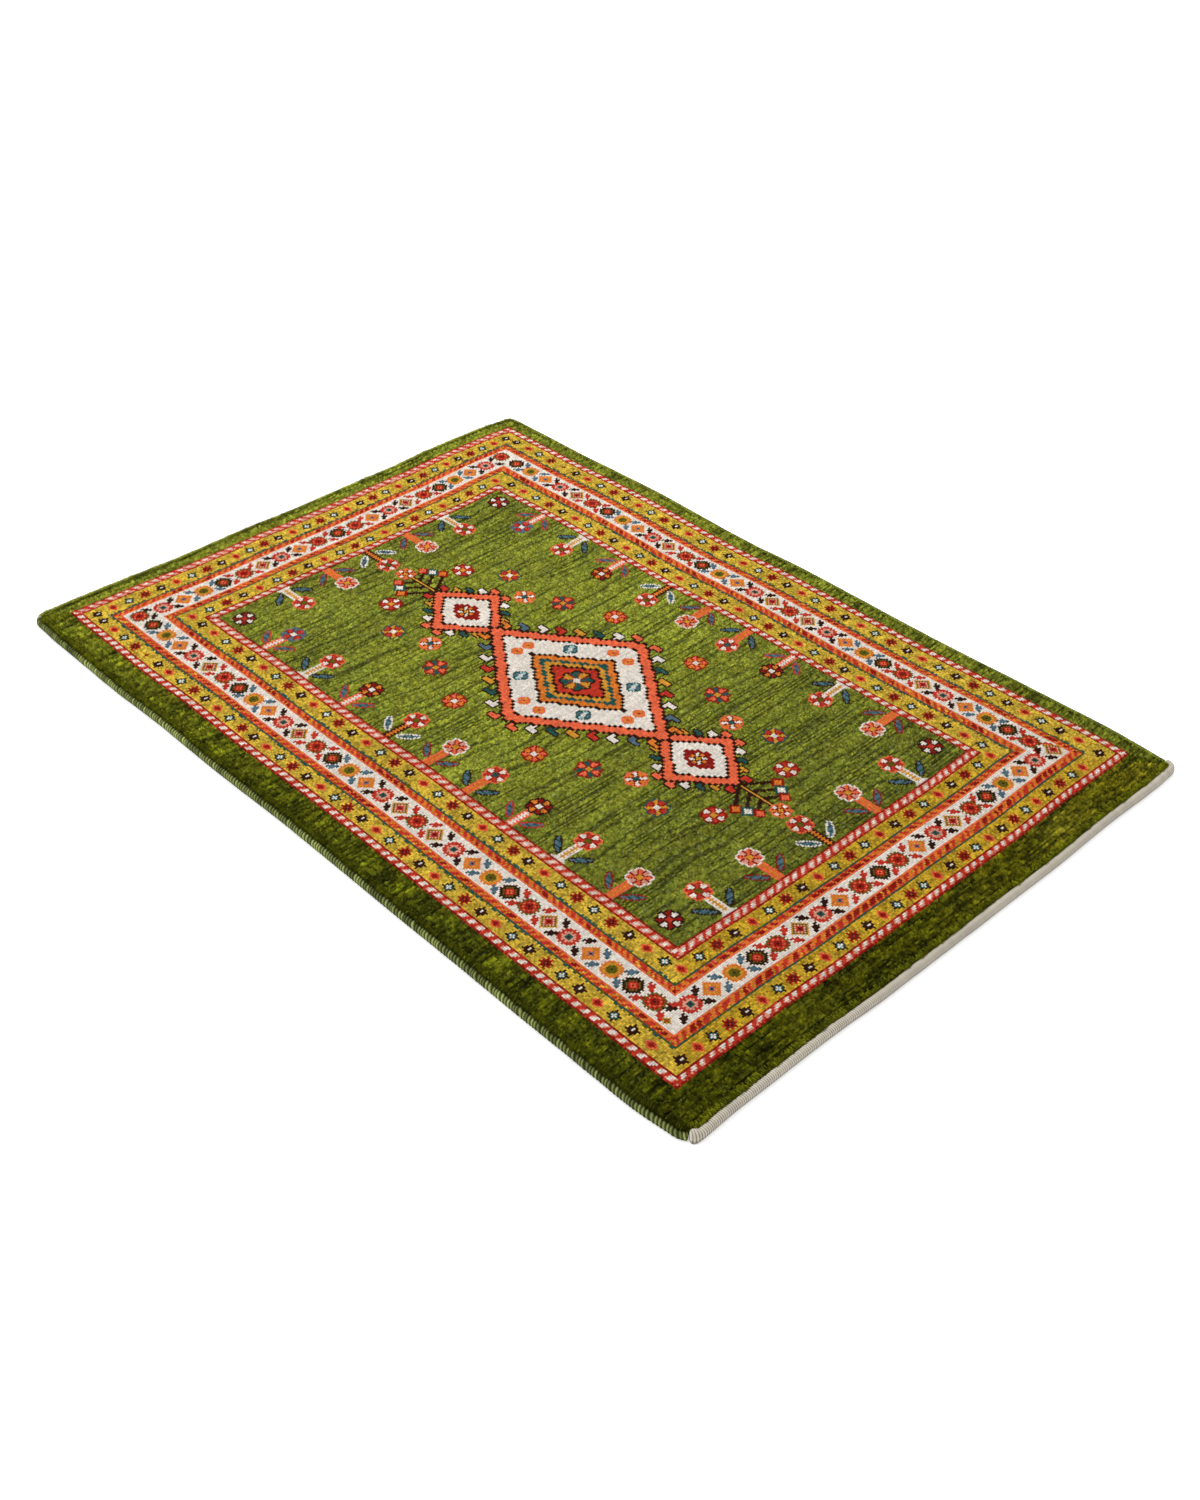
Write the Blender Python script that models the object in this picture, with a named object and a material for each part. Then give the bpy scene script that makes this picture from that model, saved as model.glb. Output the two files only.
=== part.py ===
"""A small hand-knotted gabbeh rug lying flat, as the five pieces that its maker joins.

pile_body         the knotted cloth: a slab with a flat underside, a lumpy top and a rounded rim
selvedge_left     the overcast wool cord along the left side, bent round both left corners
selvedge_right    the overcast wool cord along the right side
end_binding_near  the cotton cord along the near end, bent round the near right corner
end_binding_far   the cotton cord along the far end, bent round the far right corner

X runs across the rug, Y along it and Z up. The origin is on the floor under the middle of the rug.
The rug is first laid out as a true rectangle with round corners. Its stations are the points of a
grid's border, each with the direction that points out of the rug there. Every piece is drawn at set
distances from those stations, and the same gentle bend then gives all of them their uneven sides,
so that the pieces stay the same small gap apart.
"""

import math

import bpy
import numpy as np

MM = 0.001

# Driving dimensions
RUG_WIDTH = 850 * MM
RUG_LENGTH = 1192 * MM
PILE_HEIGHT = 12.7 * MM
CORD_WIDTH = 8.3 * MM
CORD_HEIGHT = 8.6 * MM
BINDING_WIDTH = 10.0 * MM
BINDING_HEIGHT = 10.2 * MM
PIECE_GAP = 0.4 * MM
SHOULDER = 5.0 * MM  # how far in from its side the pile reaches its full height
LUMP_HEIGHT = 0.5 * MM

# Radius of the pile's side at each corner: near left, near right, far right, far left
CORNER_RADII = (14.0 * MM, 7.0 * MM, 6.5 * MM, 12.0 * MM)

# The pile's rounded edge, from the floor up: distance in from its side, and height
PILE_EDGE = (
    # inset, height
    (0.8 * MM, 0.0),
    (0.0, 1.2 * MM),
    (0.0, 8.8 * MM),
    (0.7 * MM, 10.9 * MM),
    (2.4 * MM, 12.2 * MM),
)

# How far each side wanders out of its straight line: share of the side's length, and distance out.
# The left and right sides are read from near to far, the near and far ends from left to right.
LEFT_WANDER = (
    # share, out
    (0.00, -3.0 * MM),
    (0.06, 1.6 * MM),
    (0.17, 0.6 * MM),
    (0.33, -1.0 * MM),
    (0.52, -3.0 * MM),
    (0.66, -1.2 * MM),
    (0.75, -2.2 * MM),
    (0.83, -0.2 * MM),
    (0.94, -1.8 * MM),
    (1.00, -4.0 * MM),
)
RIGHT_WANDER = (
    # share, out
    (0.00, -2.0 * MM),
    (0.08, 3.0 * MM),
    (0.16, 1.6 * MM),
    (0.30, -1.4 * MM),
    (0.49, 1.6 * MM),
    (0.58, -2.2 * MM),
    (0.74, 2.6 * MM),
    (0.88, -1.4 * MM),
    (1.00, -1.6 * MM),
)
NEAR_WANDER = (
    # share, out
    (0.00, -2.0 * MM),
    (0.07, -3.6 * MM),
    (0.22, -3.2 * MM),
    (0.36, 0.6 * MM),
    (0.54, 2.0 * MM),
    (0.70, 3.6 * MM),
    (0.83, 2.0 * MM),
    (0.95, 3.4 * MM),
    (1.00, 2.0 * MM),
)
FAR_WANDER = (
    # share, out
    (0.00, -2.6 * MM),
    (0.12, -2.4 * MM),
    (0.26, -4.6 * MM),
    (0.41, -2.0 * MM),
    (0.47, -3.2 * MM),
    (0.70, 0.6 * MM),
    (0.82, 6.2 * MM),
    (0.92, 6.8 * MM),
    (1.00, 2.4 * MM),
)

# Grid lines close to a side, as distances from it, and the usual distance between the others
FINE_LINES = (0.0, 1.0 * MM, 2.4 * MM, 4.2 * MM, 6.4 * MM, 9.0 * MM, 20.0 * MM)
LINE_PITCH = 26 * MM
SECTION_SIDES = 12
JOIN_STATION = 2  # each end binding stops at this station past its right corner

# sRGB colours of the wool and the cotton
FIELD_GREEN = (0.42, 0.44, 0.16)
CORD_GREEN = (0.36, 0.38, 0.15)
BINDING_WHITE = (0.72, 0.69, 0.62)

HALF_WIDTH = RUG_WIDTH / 2 - CORD_WIDTH - PIECE_GAP
HALF_LENGTH = RUG_LENGTH / 2 - BINDING_WIDTH - PIECE_GAP


def clear_scene():
    """Remove every object of the open file."""
    for obj in list(bpy.data.objects):
        bpy.data.objects.remove(obj, do_unlink=True)


def linear(channel):
    """One sRGB channel as the linear value that a shader takes."""
    if channel <= 0.04045:
        return channel / 12.92
    return ((channel + 0.055) / 1.055) ** 2.4


def yarn_material(name, colour, roughness):
    """A matt yarn: one colour, a soft sheen and no metal."""
    material = bpy.data.materials.new(name)
    material.use_nodes = True
    shader = material.node_tree.nodes["Principled BSDF"]
    shader.inputs["Base Color"].default_value = (*[linear(c) for c in colour], 1.0)
    shader.inputs["Roughness"].default_value = roughness
    shader.inputs["Metallic"].default_value = 0.0
    shader.inputs["Sheen Weight"].default_value = 0.3
    return material


def smooth_table(table, share):
    """The table's second column at each share, eased from row to row by a cosine."""
    shares = np.array([row[0] for row in table])
    values = np.array([row[1] for row in table])
    share = np.clip(share, 0.0, 1.0)
    row = np.clip(np.searchsorted(shares, share) - 1, 0, len(shares) - 2)
    part = (share - shares[row]) / (shares[row + 1] - shares[row])
    ease = 0.5 - 0.5 * np.cos(math.pi * part)
    return values[row] + (values[row + 1] - values[row]) * ease


def bend(x, y):
    """Give points of the true rectangle the rug's uneven sides.

    A point moves with each side in proportion to how near it is to that side.
    """
    across = np.clip((x + HALF_WIDTH) / (2 * HALF_WIDTH), 0.0, 1.0)
    along = np.clip((y + HALF_LENGTH) / (2 * HALF_LENGTH), 0.0, 1.0)
    left, right = smooth_table(LEFT_WANDER, along), smooth_table(RIGHT_WANDER, along)
    near, far = smooth_table(NEAR_WANDER, across), smooth_table(FAR_WANDER, across)
    return x + across * right - (1 - across) * left, y + along * far - (1 - along) * near


def lumps(x, y):
    """Height of the pile's gentle lumps, from minus LUMP_HEIGHT up to zero: three crossing waves."""
    wave = (
        np.sin(x * 61 + y * 23)
        + np.sin(y * 47 - x * 19 + 1.7)
        + np.sin(x * 97 - y * 88 + 0.6)
    )
    return LUMP_HEIGHT * (wave / 6 - 0.5)


def grid_lines(half):
    """Distances along one direction of the grid, fine at both ends and even between them."""
    fine = np.array(FINE_LINES)
    inner = half - fine[-1]
    count = round(2 * inner / LINE_PITCH)
    middle = np.linspace(-inner, inner, count + 1)
    return np.concatenate([fine - half, middle[1:-1], half - fine[::-1]])


def rounded(x, y):
    """Round the corners of the shoulder's rectangle, and give the way out of the rug at each point.

    In the square at each corner the point (a, b), counted from the arc's centre in radii, goes to
    (a * sqrt(1 - b * b / 2), b * sqrt(1 - a * a / 2)). That takes the square's outer sides to the arc
    and leaves its inner sides where they are.
    """
    half_x, half_y = HALF_WIDTH - SHOULDER, HALF_LENGTH - SHOULDER
    out_x = np.where(np.abs(x) >= half_x - 1e-9, np.sign(x), 0.0)
    out_y = np.where((np.abs(y) >= half_y - 1e-9) & (out_x == 0), np.sign(y), 0.0)
    round_x, round_y = x.copy(), y.copy()
    signs = ((-1, -1), (1, -1), (1, 1), (-1, 1))
    for (sign_x, sign_y), side_radius in zip(signs, CORNER_RADII):
        radius = side_radius - SHOULDER
        centre_x, centre_y = sign_x * (half_x - radius), sign_y * (half_y - radius)
        a, b = (x - centre_x) / radius, (y - centre_y) / radius
        inside = (a * sign_x > 1e-9) & (b * sign_y > 1e-9)
        arc_x, arc_y = a * np.sqrt(1 - b * b * inside / 2), b * np.sqrt(1 - a * a * inside / 2)
        round_x = np.where(inside, centre_x + radius * arc_x, round_x)
        round_y = np.where(inside, centre_y + radius * arc_y, round_y)
        out_x = np.where(inside, arc_x, out_x)
        out_y = np.where(inside, arc_y, out_y)
    return round_x, round_y, out_x, out_y


class RugGrid:
    """The grid of points at the pile's shoulder, and the stations on its border."""

    def __init__(self):
        self.columns = grid_lines(HALF_WIDTH - SHOULDER)
        self.rows = grid_lines(HALF_LENGTH - SHOULDER)
        x, y = np.meshgrid(self.columns, self.rows)
        self.x, self.y, out_x, out_y = rounded(x, y)
        last_row, last_column = len(self.rows) - 1, len(self.columns) - 1
        near = [(0, c) for c in range(last_column)]
        right = [(r, last_column) for r in range(last_row)]
        far = [(last_row, c) for c in range(last_column, 0, -1)]
        left = [(r, 0) for r in range(last_row, 0, -1)]
        border = np.array(near + right + far + left)
        self.border = border
        self.station_x = self.x[border[:, 0], border[:, 1]]
        self.station_y = self.y[border[:, 0], border[:, 1]]
        self.out_x = out_x[border[:, 0], border[:, 1]]
        self.out_y = out_y[border[:, 0], border[:, 1]]
        self.right_start = len(near)
        self.far_start = self.right_start + len(right)
        self.left_start = self.far_start + len(far)
        self.count = len(border)
        self.middle_x, self.middle_y = 0.0, 0.0
        side_x, _ = self.ring(PIECE_GAP + CORD_WIDTH)
        _, side_y = self.ring(PIECE_GAP + BINDING_WIDTH)
        self.middle_x = (side_x.min() + side_x.max()) / 2
        self.middle_y = (side_y.min() + side_y.max()) / 2

    def place(self, x, y):
        """Bend points of the true rectangle, with the middle of the whole rug's box at zero."""
        bent_x, bent_y = bend(x, y)
        return bent_x - self.middle_x, bent_y - self.middle_y

    def ring(self, out, slide=0.0, stations=None):
        """Stations moved out by a distance past the pile's side, slid along the border, and placed."""
        chosen = np.arange(self.count) if stations is None else np.array(stations) % self.count
        out_x, out_y = self.out_x[chosen], self.out_y[chosen]
        x = self.station_x[chosen] + out_x * (SHOULDER + out) - out_y * slide
        y = self.station_y[chosen] + out_y * (SHOULDER + out) + out_x * slide
        return self.place(x, y)


def new_object(name, points, faces, material):
    """A mesh object from points and faces, shaded smooth but for its sharp edges."""
    mesh = bpy.data.meshes.new(name)
    mesh.from_pydata([tuple(p) for p in points], [], faces)
    mesh.materials.append(material)
    mesh.update()
    mesh.shade_smooth()
    mesh.set_sharp_from_angle(angle=math.radians(50))
    obj = bpy.data.objects.new(name, mesh)
    bpy.context.scene.collection.objects.link(obj)
    return obj


def pile_points(grid):
    """The pile's rings from the floor up to its shoulder, then the grid of its top."""
    points = []
    for inset, height in PILE_EDGE:
        x, y = grid.ring(-inset)
        sunk = lumps(x, y) * (height / PILE_HEIGHT) ** 3
        points += list(zip(x, y, height + sunk))
    x, y = grid.place(grid.x, grid.y)
    points += list(zip(x.ravel(), y.ravel(), (PILE_HEIGHT + lumps(x, y)).ravel()))
    return points


def pile_faces(grid):
    """One flat face under the pile, bands up its edge, and squares over its top."""
    count, columns = grid.count, len(grid.columns)
    edge_rings = [[ring * count + i for i in range(count)] for ring in range(len(PILE_EDGE))]
    top = len(PILE_EDGE) * count
    shoulder = [top + r * columns + c for r, c in grid.border]
    faces = [edge_rings[0][::-1]]
    for low, high in zip(edge_rings, edge_rings[1:] + [shoulder]):
        faces += [
            (low[i], low[(i + 1) % count], high[(i + 1) % count], high[i])
            for i in range(count)
        ]
    for r in range(len(grid.rows) - 1):
        for c in range(columns - 1):
            corner = top + r * columns + c
            faces.append((corner, corner + 1, corner + columns + 1, corner + columns))
    return faces


def section(width, height):
    """A cord's cross-section as (distance out from the pile's side, height): an oval cut flat below."""
    sides = []
    for k in range(SECTION_SIDES):
        angle = 2 * math.pi * (k + 0.5) / SECTION_SIDES - math.pi / 2
        out = width / 2 * (1 + math.cos(angle) / math.cos(math.pi / SECTION_SIDES))
        up = height / 2 * (1 + math.sin(angle) / math.cos(math.pi / SECTION_SIDES))
        sides.append((PIECE_GAP + min(max(out, 0.0), width), max(up, 0.0)))
    return sides


def cord(name, grid, first, last, width, height, material):
    """A cord beside the pile from one station to another, closed at both ends.

    Each end stops half a gap short of its station, so that the next cord starts a whole gap on.
    """
    stations = list(range(first, last + 1))
    slide = np.zeros(len(stations))
    slide[0], slide[-1] = PIECE_GAP / 2, -PIECE_GAP / 2
    sides = section(width, height)
    loops = []
    for out, up in sides:
        x, y = grid.ring(out, slide, stations)
        loops.append(np.stack([x, y, np.full(len(stations), up)], axis=1))
    points = np.stack(loops, axis=1).reshape(-1, 3)
    around, steps = len(sides), len(stations)
    faces = [tuple(range(around)), tuple(range(steps * around - 1, (steps - 1) * around - 1, -1))]
    for s in range(steps - 1):
        for k in range(around):
            here, following = s * around + k, s * around + (k + 1) % around
            faces.append((here, here + around, following + around, following))
    return new_object(name, points, faces, material)


def main():
    """Build the rug's five pieces, with the middle of its box over the origin."""
    clear_scene()
    wool = yarn_material("pile_wool", FIELD_GREEN, 0.95)
    cord_wool = yarn_material("selvedge_wool", CORD_GREEN, 0.9)
    cotton = yarn_material("binding_cotton", BINDING_WHITE, 0.85)
    grid = RugGrid()
    near_end, right_end = grid.right_start + JOIN_STATION, grid.far_start - JOIN_STATION
    far_end, left_end = grid.left_start, grid.count
    new_object("pile_body", pile_points(grid), pile_faces(grid), wool)
    cord("selvedge_left", grid, far_end, left_end, CORD_WIDTH, CORD_HEIGHT, cord_wool)
    cord("end_binding_near", grid, 0, near_end, BINDING_WIDTH, BINDING_HEIGHT, cotton)
    cord("selvedge_right", grid, near_end, right_end, CORD_WIDTH, CORD_HEIGHT, cord_wool)
    cord("end_binding_far", grid, right_end, far_end, BINDING_WIDTH, BINDING_HEIGHT, cotton)


main()
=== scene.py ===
"""A small hand-knotted gabbeh rug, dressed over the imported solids.

The pile is a grid of knots. RugChart works out each knot's dye: striped borders from their widths
in knots, small motifs from charts of letters, and the field's medallions from formulas. RugPlan
says where each knot lies, and how high. Each knot is a small leaning tuft: four triangles from its
corners up to its tip. The cords and bindings are swept round the same rim, with raised windings.

X runs across the rug, Y along it and Z up, in metres, with the origin under the rug's middle.
"""

import logging
import math
from dataclasses import dataclass, field, replace
from enum import Enum, IntEnum

import bpy
import numpy as np
from mathutils import Matrix, Vector


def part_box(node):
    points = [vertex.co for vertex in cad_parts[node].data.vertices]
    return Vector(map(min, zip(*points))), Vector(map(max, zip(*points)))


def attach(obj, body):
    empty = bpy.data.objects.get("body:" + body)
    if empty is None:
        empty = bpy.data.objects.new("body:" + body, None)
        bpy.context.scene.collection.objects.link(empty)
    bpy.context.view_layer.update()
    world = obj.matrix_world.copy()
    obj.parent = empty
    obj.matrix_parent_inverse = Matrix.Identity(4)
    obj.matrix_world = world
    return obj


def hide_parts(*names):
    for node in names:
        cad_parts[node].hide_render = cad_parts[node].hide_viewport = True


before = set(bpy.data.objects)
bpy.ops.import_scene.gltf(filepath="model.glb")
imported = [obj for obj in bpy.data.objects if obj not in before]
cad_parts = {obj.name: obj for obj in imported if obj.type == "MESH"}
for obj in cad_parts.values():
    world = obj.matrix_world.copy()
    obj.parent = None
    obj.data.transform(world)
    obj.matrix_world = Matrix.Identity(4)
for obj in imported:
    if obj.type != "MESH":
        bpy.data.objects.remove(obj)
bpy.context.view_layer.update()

MM = 0.001
BAKE_MAP = "OFBake"
YARN_ATTRIBUTE = "yarn_colour"

log = logging.getLogger("gabbeh")

Array = np.ndarray
Arrays = tuple[Array, Array]
Pair = tuple[float, float]
Triple = tuple[float, float, float]
# Knots on the left, the right, the near and the far side
Widths = tuple[int, int, int, int]


# -------------------- dyes and charts


class Dye(IntEnum):
    """The yarns that the weaver has, by dye."""

    FIELD_GREEN = 0
    GUARD_GREEN = 1
    YELLOW = 2
    IVORY = 3
    ORANGE = 4
    RED = 5
    CRIMSON = 6
    CORAL = 7
    BLUSH = 8
    BROWN = 9
    TEAL = 10
    SLATE = 11
    SKY = 12
    GOLD = 13
    OLIVE = 14


NO_KNOT = -1

# The colour of each yarn in daylight, as sRGB shares
DYE_COLOURS = {
    Dye.FIELD_GREEN: (0.53, 0.555, 0.17),
    Dye.GUARD_GREEN: (0.395, 0.41, 0.05),
    Dye.YELLOW: (0.79, 0.64, 0.17),
    Dye.IVORY: (0.95, 0.91, 0.86),
    Dye.ORANGE: (0.90, 0.50, 0.18),
    Dye.RED: (0.79, 0.22, 0.15),
    Dye.CRIMSON: (0.58, 0.10, 0.07),
    Dye.CORAL: (0.96, 0.43, 0.28),
    Dye.BLUSH: (0.90, 0.62, 0.53),
    Dye.BROWN: (0.20, 0.09, 0.05),
    Dye.TEAL: (0.14, 0.34, 0.31),
    Dye.SLATE: (0.34, 0.44, 0.50),
    Dye.SKY: (0.68, 0.80, 0.80),
    Dye.GOLD: (0.86, 0.60, 0.20),
    Dye.OLIVE: (0.38, 0.36, 0.08),
}

LETTERS = {
    ".": NO_KNOT, "W": Dye.IVORY, "O": Dye.ORANGE, "R": Dye.RED, "M": Dye.CRIMSON,
    "C": Dye.CORAL, "B": Dye.BLUSH, "K": Dye.BROWN, "T": Dye.TEAL, "S": Dye.SLATE,
    "L": Dye.SKY, "G": Dye.GOLD, "V": Dye.OLIVE,
}

# The dyes of the leaves about each ring: the leaf's own and that of its ends
LEAF_DYES = {"A": "KK", "C": "ST", "E": "RM"}
# How far a leaf is from its ring along the stripe and across it, in knots
LEAF_PLACE = (7.5, 4.3)
LEAF = """
...ab
.aaa.
.aaaa
aaaa.
ba...
"""

# A blossom's mean side, the swell of its petals and its heart, as shares of its radius
BLOSSOM_SIDE, BLOSSOM_SWELL, BLOSSOM_HEART = 0.97, 0.05, 0.24
# Half the width of the line between two petals, in knots
PARTING = 0.42

# Near left, near right, far right, far left
CORNERS = ((-1, -1), (1, -1), (1, 1), (-1, 1))


# The last number of each call to scatter and cloud is its seed
def scatter(i: Array, j: Array, seed: float) -> Array:
    """A number from 0 to 1 for each pair of whole numbers: the fraction of a large sine."""
    return np.abs(np.sin(i * 127.1 + j * 311.7 + seed * 74.7) * 43758.5453) % 1.0


def cloud(x: Array, y: Array, wide: float, long: float, seed: float) -> Array:
    """Smooth noise: scattered values at the corners of cells, blended in between.

    Args:
        x: places across.
        y: places along.
        wide: width of a cell.
        long: its length.
        seed: of the values.

    Returns:
        A number from 0 to 1 for each place.
    """
    u, v = x / wide, y / long
    i, j = np.floor(u), np.floor(v)
    u, v = u - i, v - j
    u, v = u * u * (3 - 2 * u), v * v * (3 - 2 * v)
    near = scatter(i, j, seed) * (1 - u) + scatter(i + 1, j, seed) * u
    far = scatter(i, j + 1, seed) * (1 - u) + scatter(i + 1, j + 1, seed) * u
    return near * (1 - v) + far * v


def chance(number: Array, seed: float) -> Array:
    """A number from 0 to 1 for each whole number."""
    return scatter(number, number * 0, seed)


def wave(run: Array, length: float, seed: float) -> Array:
    """Smooth noise from 0 to 1 along a line, with a new value at each length."""
    return cloud(run, run * 0, length, 1.0, seed)


def chart(text: str, dyes: str = "") -> Array:
    """Read a chart of letters.

    Args:
        text: one line for each row, the far row first.
        dyes: the letters that a and b stand for.

    Returns:
        Each knot's dye, the near row first, with NO_KNOT where the ground shows.
    """
    for stand_in, letter in zip("ab", dyes):
        text = text.replace(stand_in, letter)
    return np.array([[LETTERS[letter] for letter in line] for line in reversed(text.split())])


def blossom(radius: float, petals: int, dyes: str, rim: float = 1.0) -> Array:
    """Chart a round flower.

    A knot's distance from the middle says whether it is heart, petal or rim, and the angle says
    which petal it is in. The rim swells by a cosine of the angle times the number of petals.

    Args:
        radius: from the middle to the rim's outside, in knots.
        petals: how many there are.
        dyes: letters of the rim, the even petals, the odd petals, the parting lines and the heart.
        rim: its width in knots.

    Returns:
        Each knot's dye, with NO_KNOT outside the flower.
    """
    reach = math.ceil(radius)
    v, u = np.mgrid[-reach : reach + 1, -reach : reach + 1]
    distance, angle = np.hypot(u, v), np.arctan2(v, u)
    turn = (angle / (2 * math.pi) * petals + 0.25) % petals
    side = radius * (BLOSSOM_SIDE + BLOSSOM_SWELL * np.cos(petals * angle))
    rim_dye, even_dye, odd_dye, line_dye, heart_dye = (LETTERS[letter] for letter in dyes)
    made = np.where(turn.astype(int) % 2 == 0, even_dye, odd_dye)
    parting = np.abs(turn - np.round(turn)) * distance < PARTING * petals / (2 * math.pi)
    made = np.where(parting, line_dye, made)
    made = np.where(distance > side - rim, rim_dye, made)
    made = np.where(distance < BLOSSOM_HEART * radius, heart_dye, made)
    return np.where(distance > side, NO_KNOT, made)


def unfolded(quarter: str) -> Array:
    """Read a quarter of a motif and mirror it to the right and down.

    Args:
        quarter: its far left quarter, with the middle column and the middle row.

    Returns:
        The dye of each knot of the whole motif.
    """
    far_left = chart(quarter)
    far = np.hstack([far_left, far_left[:, -2::-1]])
    return np.vstack([far[::-1], far[1:]])[::-1]


def stamp(ground: Array, motif: Array, column: float, row: float) -> None:
    """Put a motif's knots over the ground.

    Args:
        ground: each knot's dye, changed here.
        motif: the motif's dyes, with NO_KNOT where the ground stays.
        column: place of its middle across the ground.
        row: place of its middle along it.
    """
    high, wide = motif.shape
    near, left = round(row - high / 2), round(column - wide / 2)
    spot = ground[near : near + high, left : left + wide]
    spot[motif != NO_KNOT] = motif[motif != NO_KNOT]


# Small motifs of the yellow stripes: K, T and M are stars, O and m lozenges
SMALL_MOTIFS = {
    "K": chart("""
..K....
..KKK..
.KKKKKK
.KKWWK.
KKKKKK.
..KKK..
....K..
"""),
    "T": chart("""
..K....
..KTK..
.KTWTKK
.TWLWT.
KKTWTK.
..KTK..
....K..
"""),
    "O": unfolded("""
...C
..CR
.ORM
.CMM
"""),
    "M": chart("""
..M.R..
..MMM.R
RMMKMMM
.MKRKM.
MMMKMMR
R.MMM..
..R.M..
"""),
    "m": unfolded("""
..M
.MM
"""),
}

# Large motifs of the ivory stripe: rings A, C and E, and lozenges B, D, F and f
LARGE_MOTIFS = {
    "A": unfolded("""
....R.
..RRRR
.RRRBR
.RRBBB
RRBBTT
.RRBTK
"""),
    "C": unfolded("""
....O.
..OOOO
.OOGGG
.OGGVV
OOGVVV
.OGVVK
"""),
    "E": unfolded("""
....V.
..VVRV
.VRMRC
.VMCRM
VRRRMM
.VCMMK
"""),
    "B": unfolded("""
.....O
....OO
...OOG
..OOGC
.OOGCS
OOGCSK
"""),
    "D": unfolded("""
....K.
...KKK
..KKVK
.KKVMR
KKVMRC
.KKRCM
"""),
    "F": unfolded("""
.....G
....GV
...GVB
..GVBR
.GVBRM
GVBRMK
"""),
    "f": unfolded("""
...G
..GV
.GVR
"""),
}


@dataclass(frozen=True)
class MotifRow:
    """Motifs in a row along one side of a stripe."""

    letters: str  # the motifs, from near to far or from left to right
    first: float  # place of the first one, in knots from the rug's corner
    last: float  # place of the last one

    def places(self) -> list[tuple[str, float]]:
        """Each motif's letter and place."""
        return list(zip(self.letters, np.linspace(self.first, self.last, len(self.letters))))


@dataclass(frozen=True)
class MotifRound:
    """The motifs of one stripe: a row on each side, and single ones at the corners."""

    motifs: dict[str, Array]
    sides: MotifRow
    near: MotifRow
    far: MotifRow
    # letter, column and row of each single motif
    corners: tuple[tuple[str, float, float], ...] = ()


OUTER_ROUND = MotifRound(
    SMALL_MOTIFS,
    sides=MotifRow("OKTOKTMKTOKMTOKMTOKMTOKMTOKMTOKMTOKmMTOK", 41.6, 459.5),
    near=MotifRow("KOTMKOTMKOTMKOTMTOKMTOKMTOKMTO", 26.4, 309.9),
    far=MotifRow("KOTMKOTMKOTMKOTMTOKMTOKMTOKMTOK", 24.8, 324.1),
    corners=(("K", 326.0, 28.5),),
)
INNER_ROUND = MotifRound(
    SMALL_MOTIFS,
    sides=MotifRow("TOKMTMTOKMTOKMTOKMTOKMTOKMTOKMTOK", 71.7, 421.2),
    near=MotifRow("OTMKOTMKOTMTOKMTOKMTO", 63.4, 283.1),
    far=MotifRow("OTMKOTMKOTMTOKMTOKMTO", 61.4, 283.9),
)
IVORY_ROUND = MotifRound(
    LARGE_MOTIFS,
    sides=MotifRow("EDCBAFEDCBAFEFABCDEFABCDEFABCD", 57.5, 438.5),
    near=MotifRow("ABCDEFABEDEBAFEDCBA", 51.2, 296.9),
    far=MotifRow("ABCDEFABEDEBAFEDCBA", 54.3, 292.0),
    corners=(("f", 37.8, 46.0), ("F", 310.5, 45.5), ("E", 40.4, 450.5), ("E", 306.8, 451.5)),
)


@dataclass(frozen=True)
class ShrubKind:
    """One kind of shrub: a stem, two leaves that slant up, and a flower."""

    stem: str  # letters of its sides and its core
    leaf: str  # letters of its outline and its core
    flower: str  # letters of its rim, even petals, odd petals, parting lines and heart
    foot: bool = False  # whether the stem spreads out at the ground
    size: int = 27
    stem_height: int = 14
    leaf_middle: int = 15  # column and row of a leaf's middle from the stem's foot, added up
    # half length, half width, and how fast it narrows
    leaf_outline: Triple = (8.5, 3.3, 0.16)
    leaf_core: Triple = (7.0, 1.8, 0.09)  # the same of its core
    flower_row: int = 19
    flower_radius: float = 6.7  # from its middle to its rim, in knots

    def charted(self) -> Array:
        """Chart the shrub, which stands on its near row.

        A leaf lies along the diagonal from the stem's foot, and is widest in its middle.

        Returns:
            Each knot's dye, with NO_KNOT where the ground shows.
        """
        made = np.full((self.size, self.size), NO_KNOT)
        v, u = np.mgrid[0 : self.size, 0 : self.size]
        middle = self.size // 2
        side = np.abs(u - middle)
        along, across = np.abs(side + v - self.leaf_middle), np.abs(v - side + 0.5)
        leaf, core = (
            (along <= length) & (across <= width - narrower * along)
            for length, width, narrower in (self.leaf_outline, self.leaf_core)
        )
        made[leaf] = LETTERS[self.leaf[0]]
        made[leaf & core] = LETTERS[self.leaf[1]]
        made[leaf & core & (v % 3 == 0)] = Dye.TEAL
        stem = (v < self.stem_height) & (side <= 2)
        made[stem] = LETTERS[self.stem[0]]
        made[stem & ((side == 0) | ((side == 1) & (v % 2 == 1)))] = LETTERS[self.stem[1]]
        if self.foot:
            made[(v < 2) & (side <= 4 - v)] = LETTERS[self.stem[0]]
        stamp(made, blossom(self.flower_radius, 8, self.flower), middle, self.flower_row)
        return made


SHRUB_KINDS = {
    "ivory": ShrubKind("WG", "KS", "CWRMV", foot=True),
    "coral": ShrubKind("CO", "MS", "WBCMG"),
    "brown": ShrubKind("KO", "WS", "CWRMV"),
    "dark": ShrubKind("CW", "RS", "KOMKW"),
    "orange": ShrubKind("CO", "KS", "CWRMT"),
    "pale": ShrubKind("CW", "RS", "SRSMW"),
}
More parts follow.
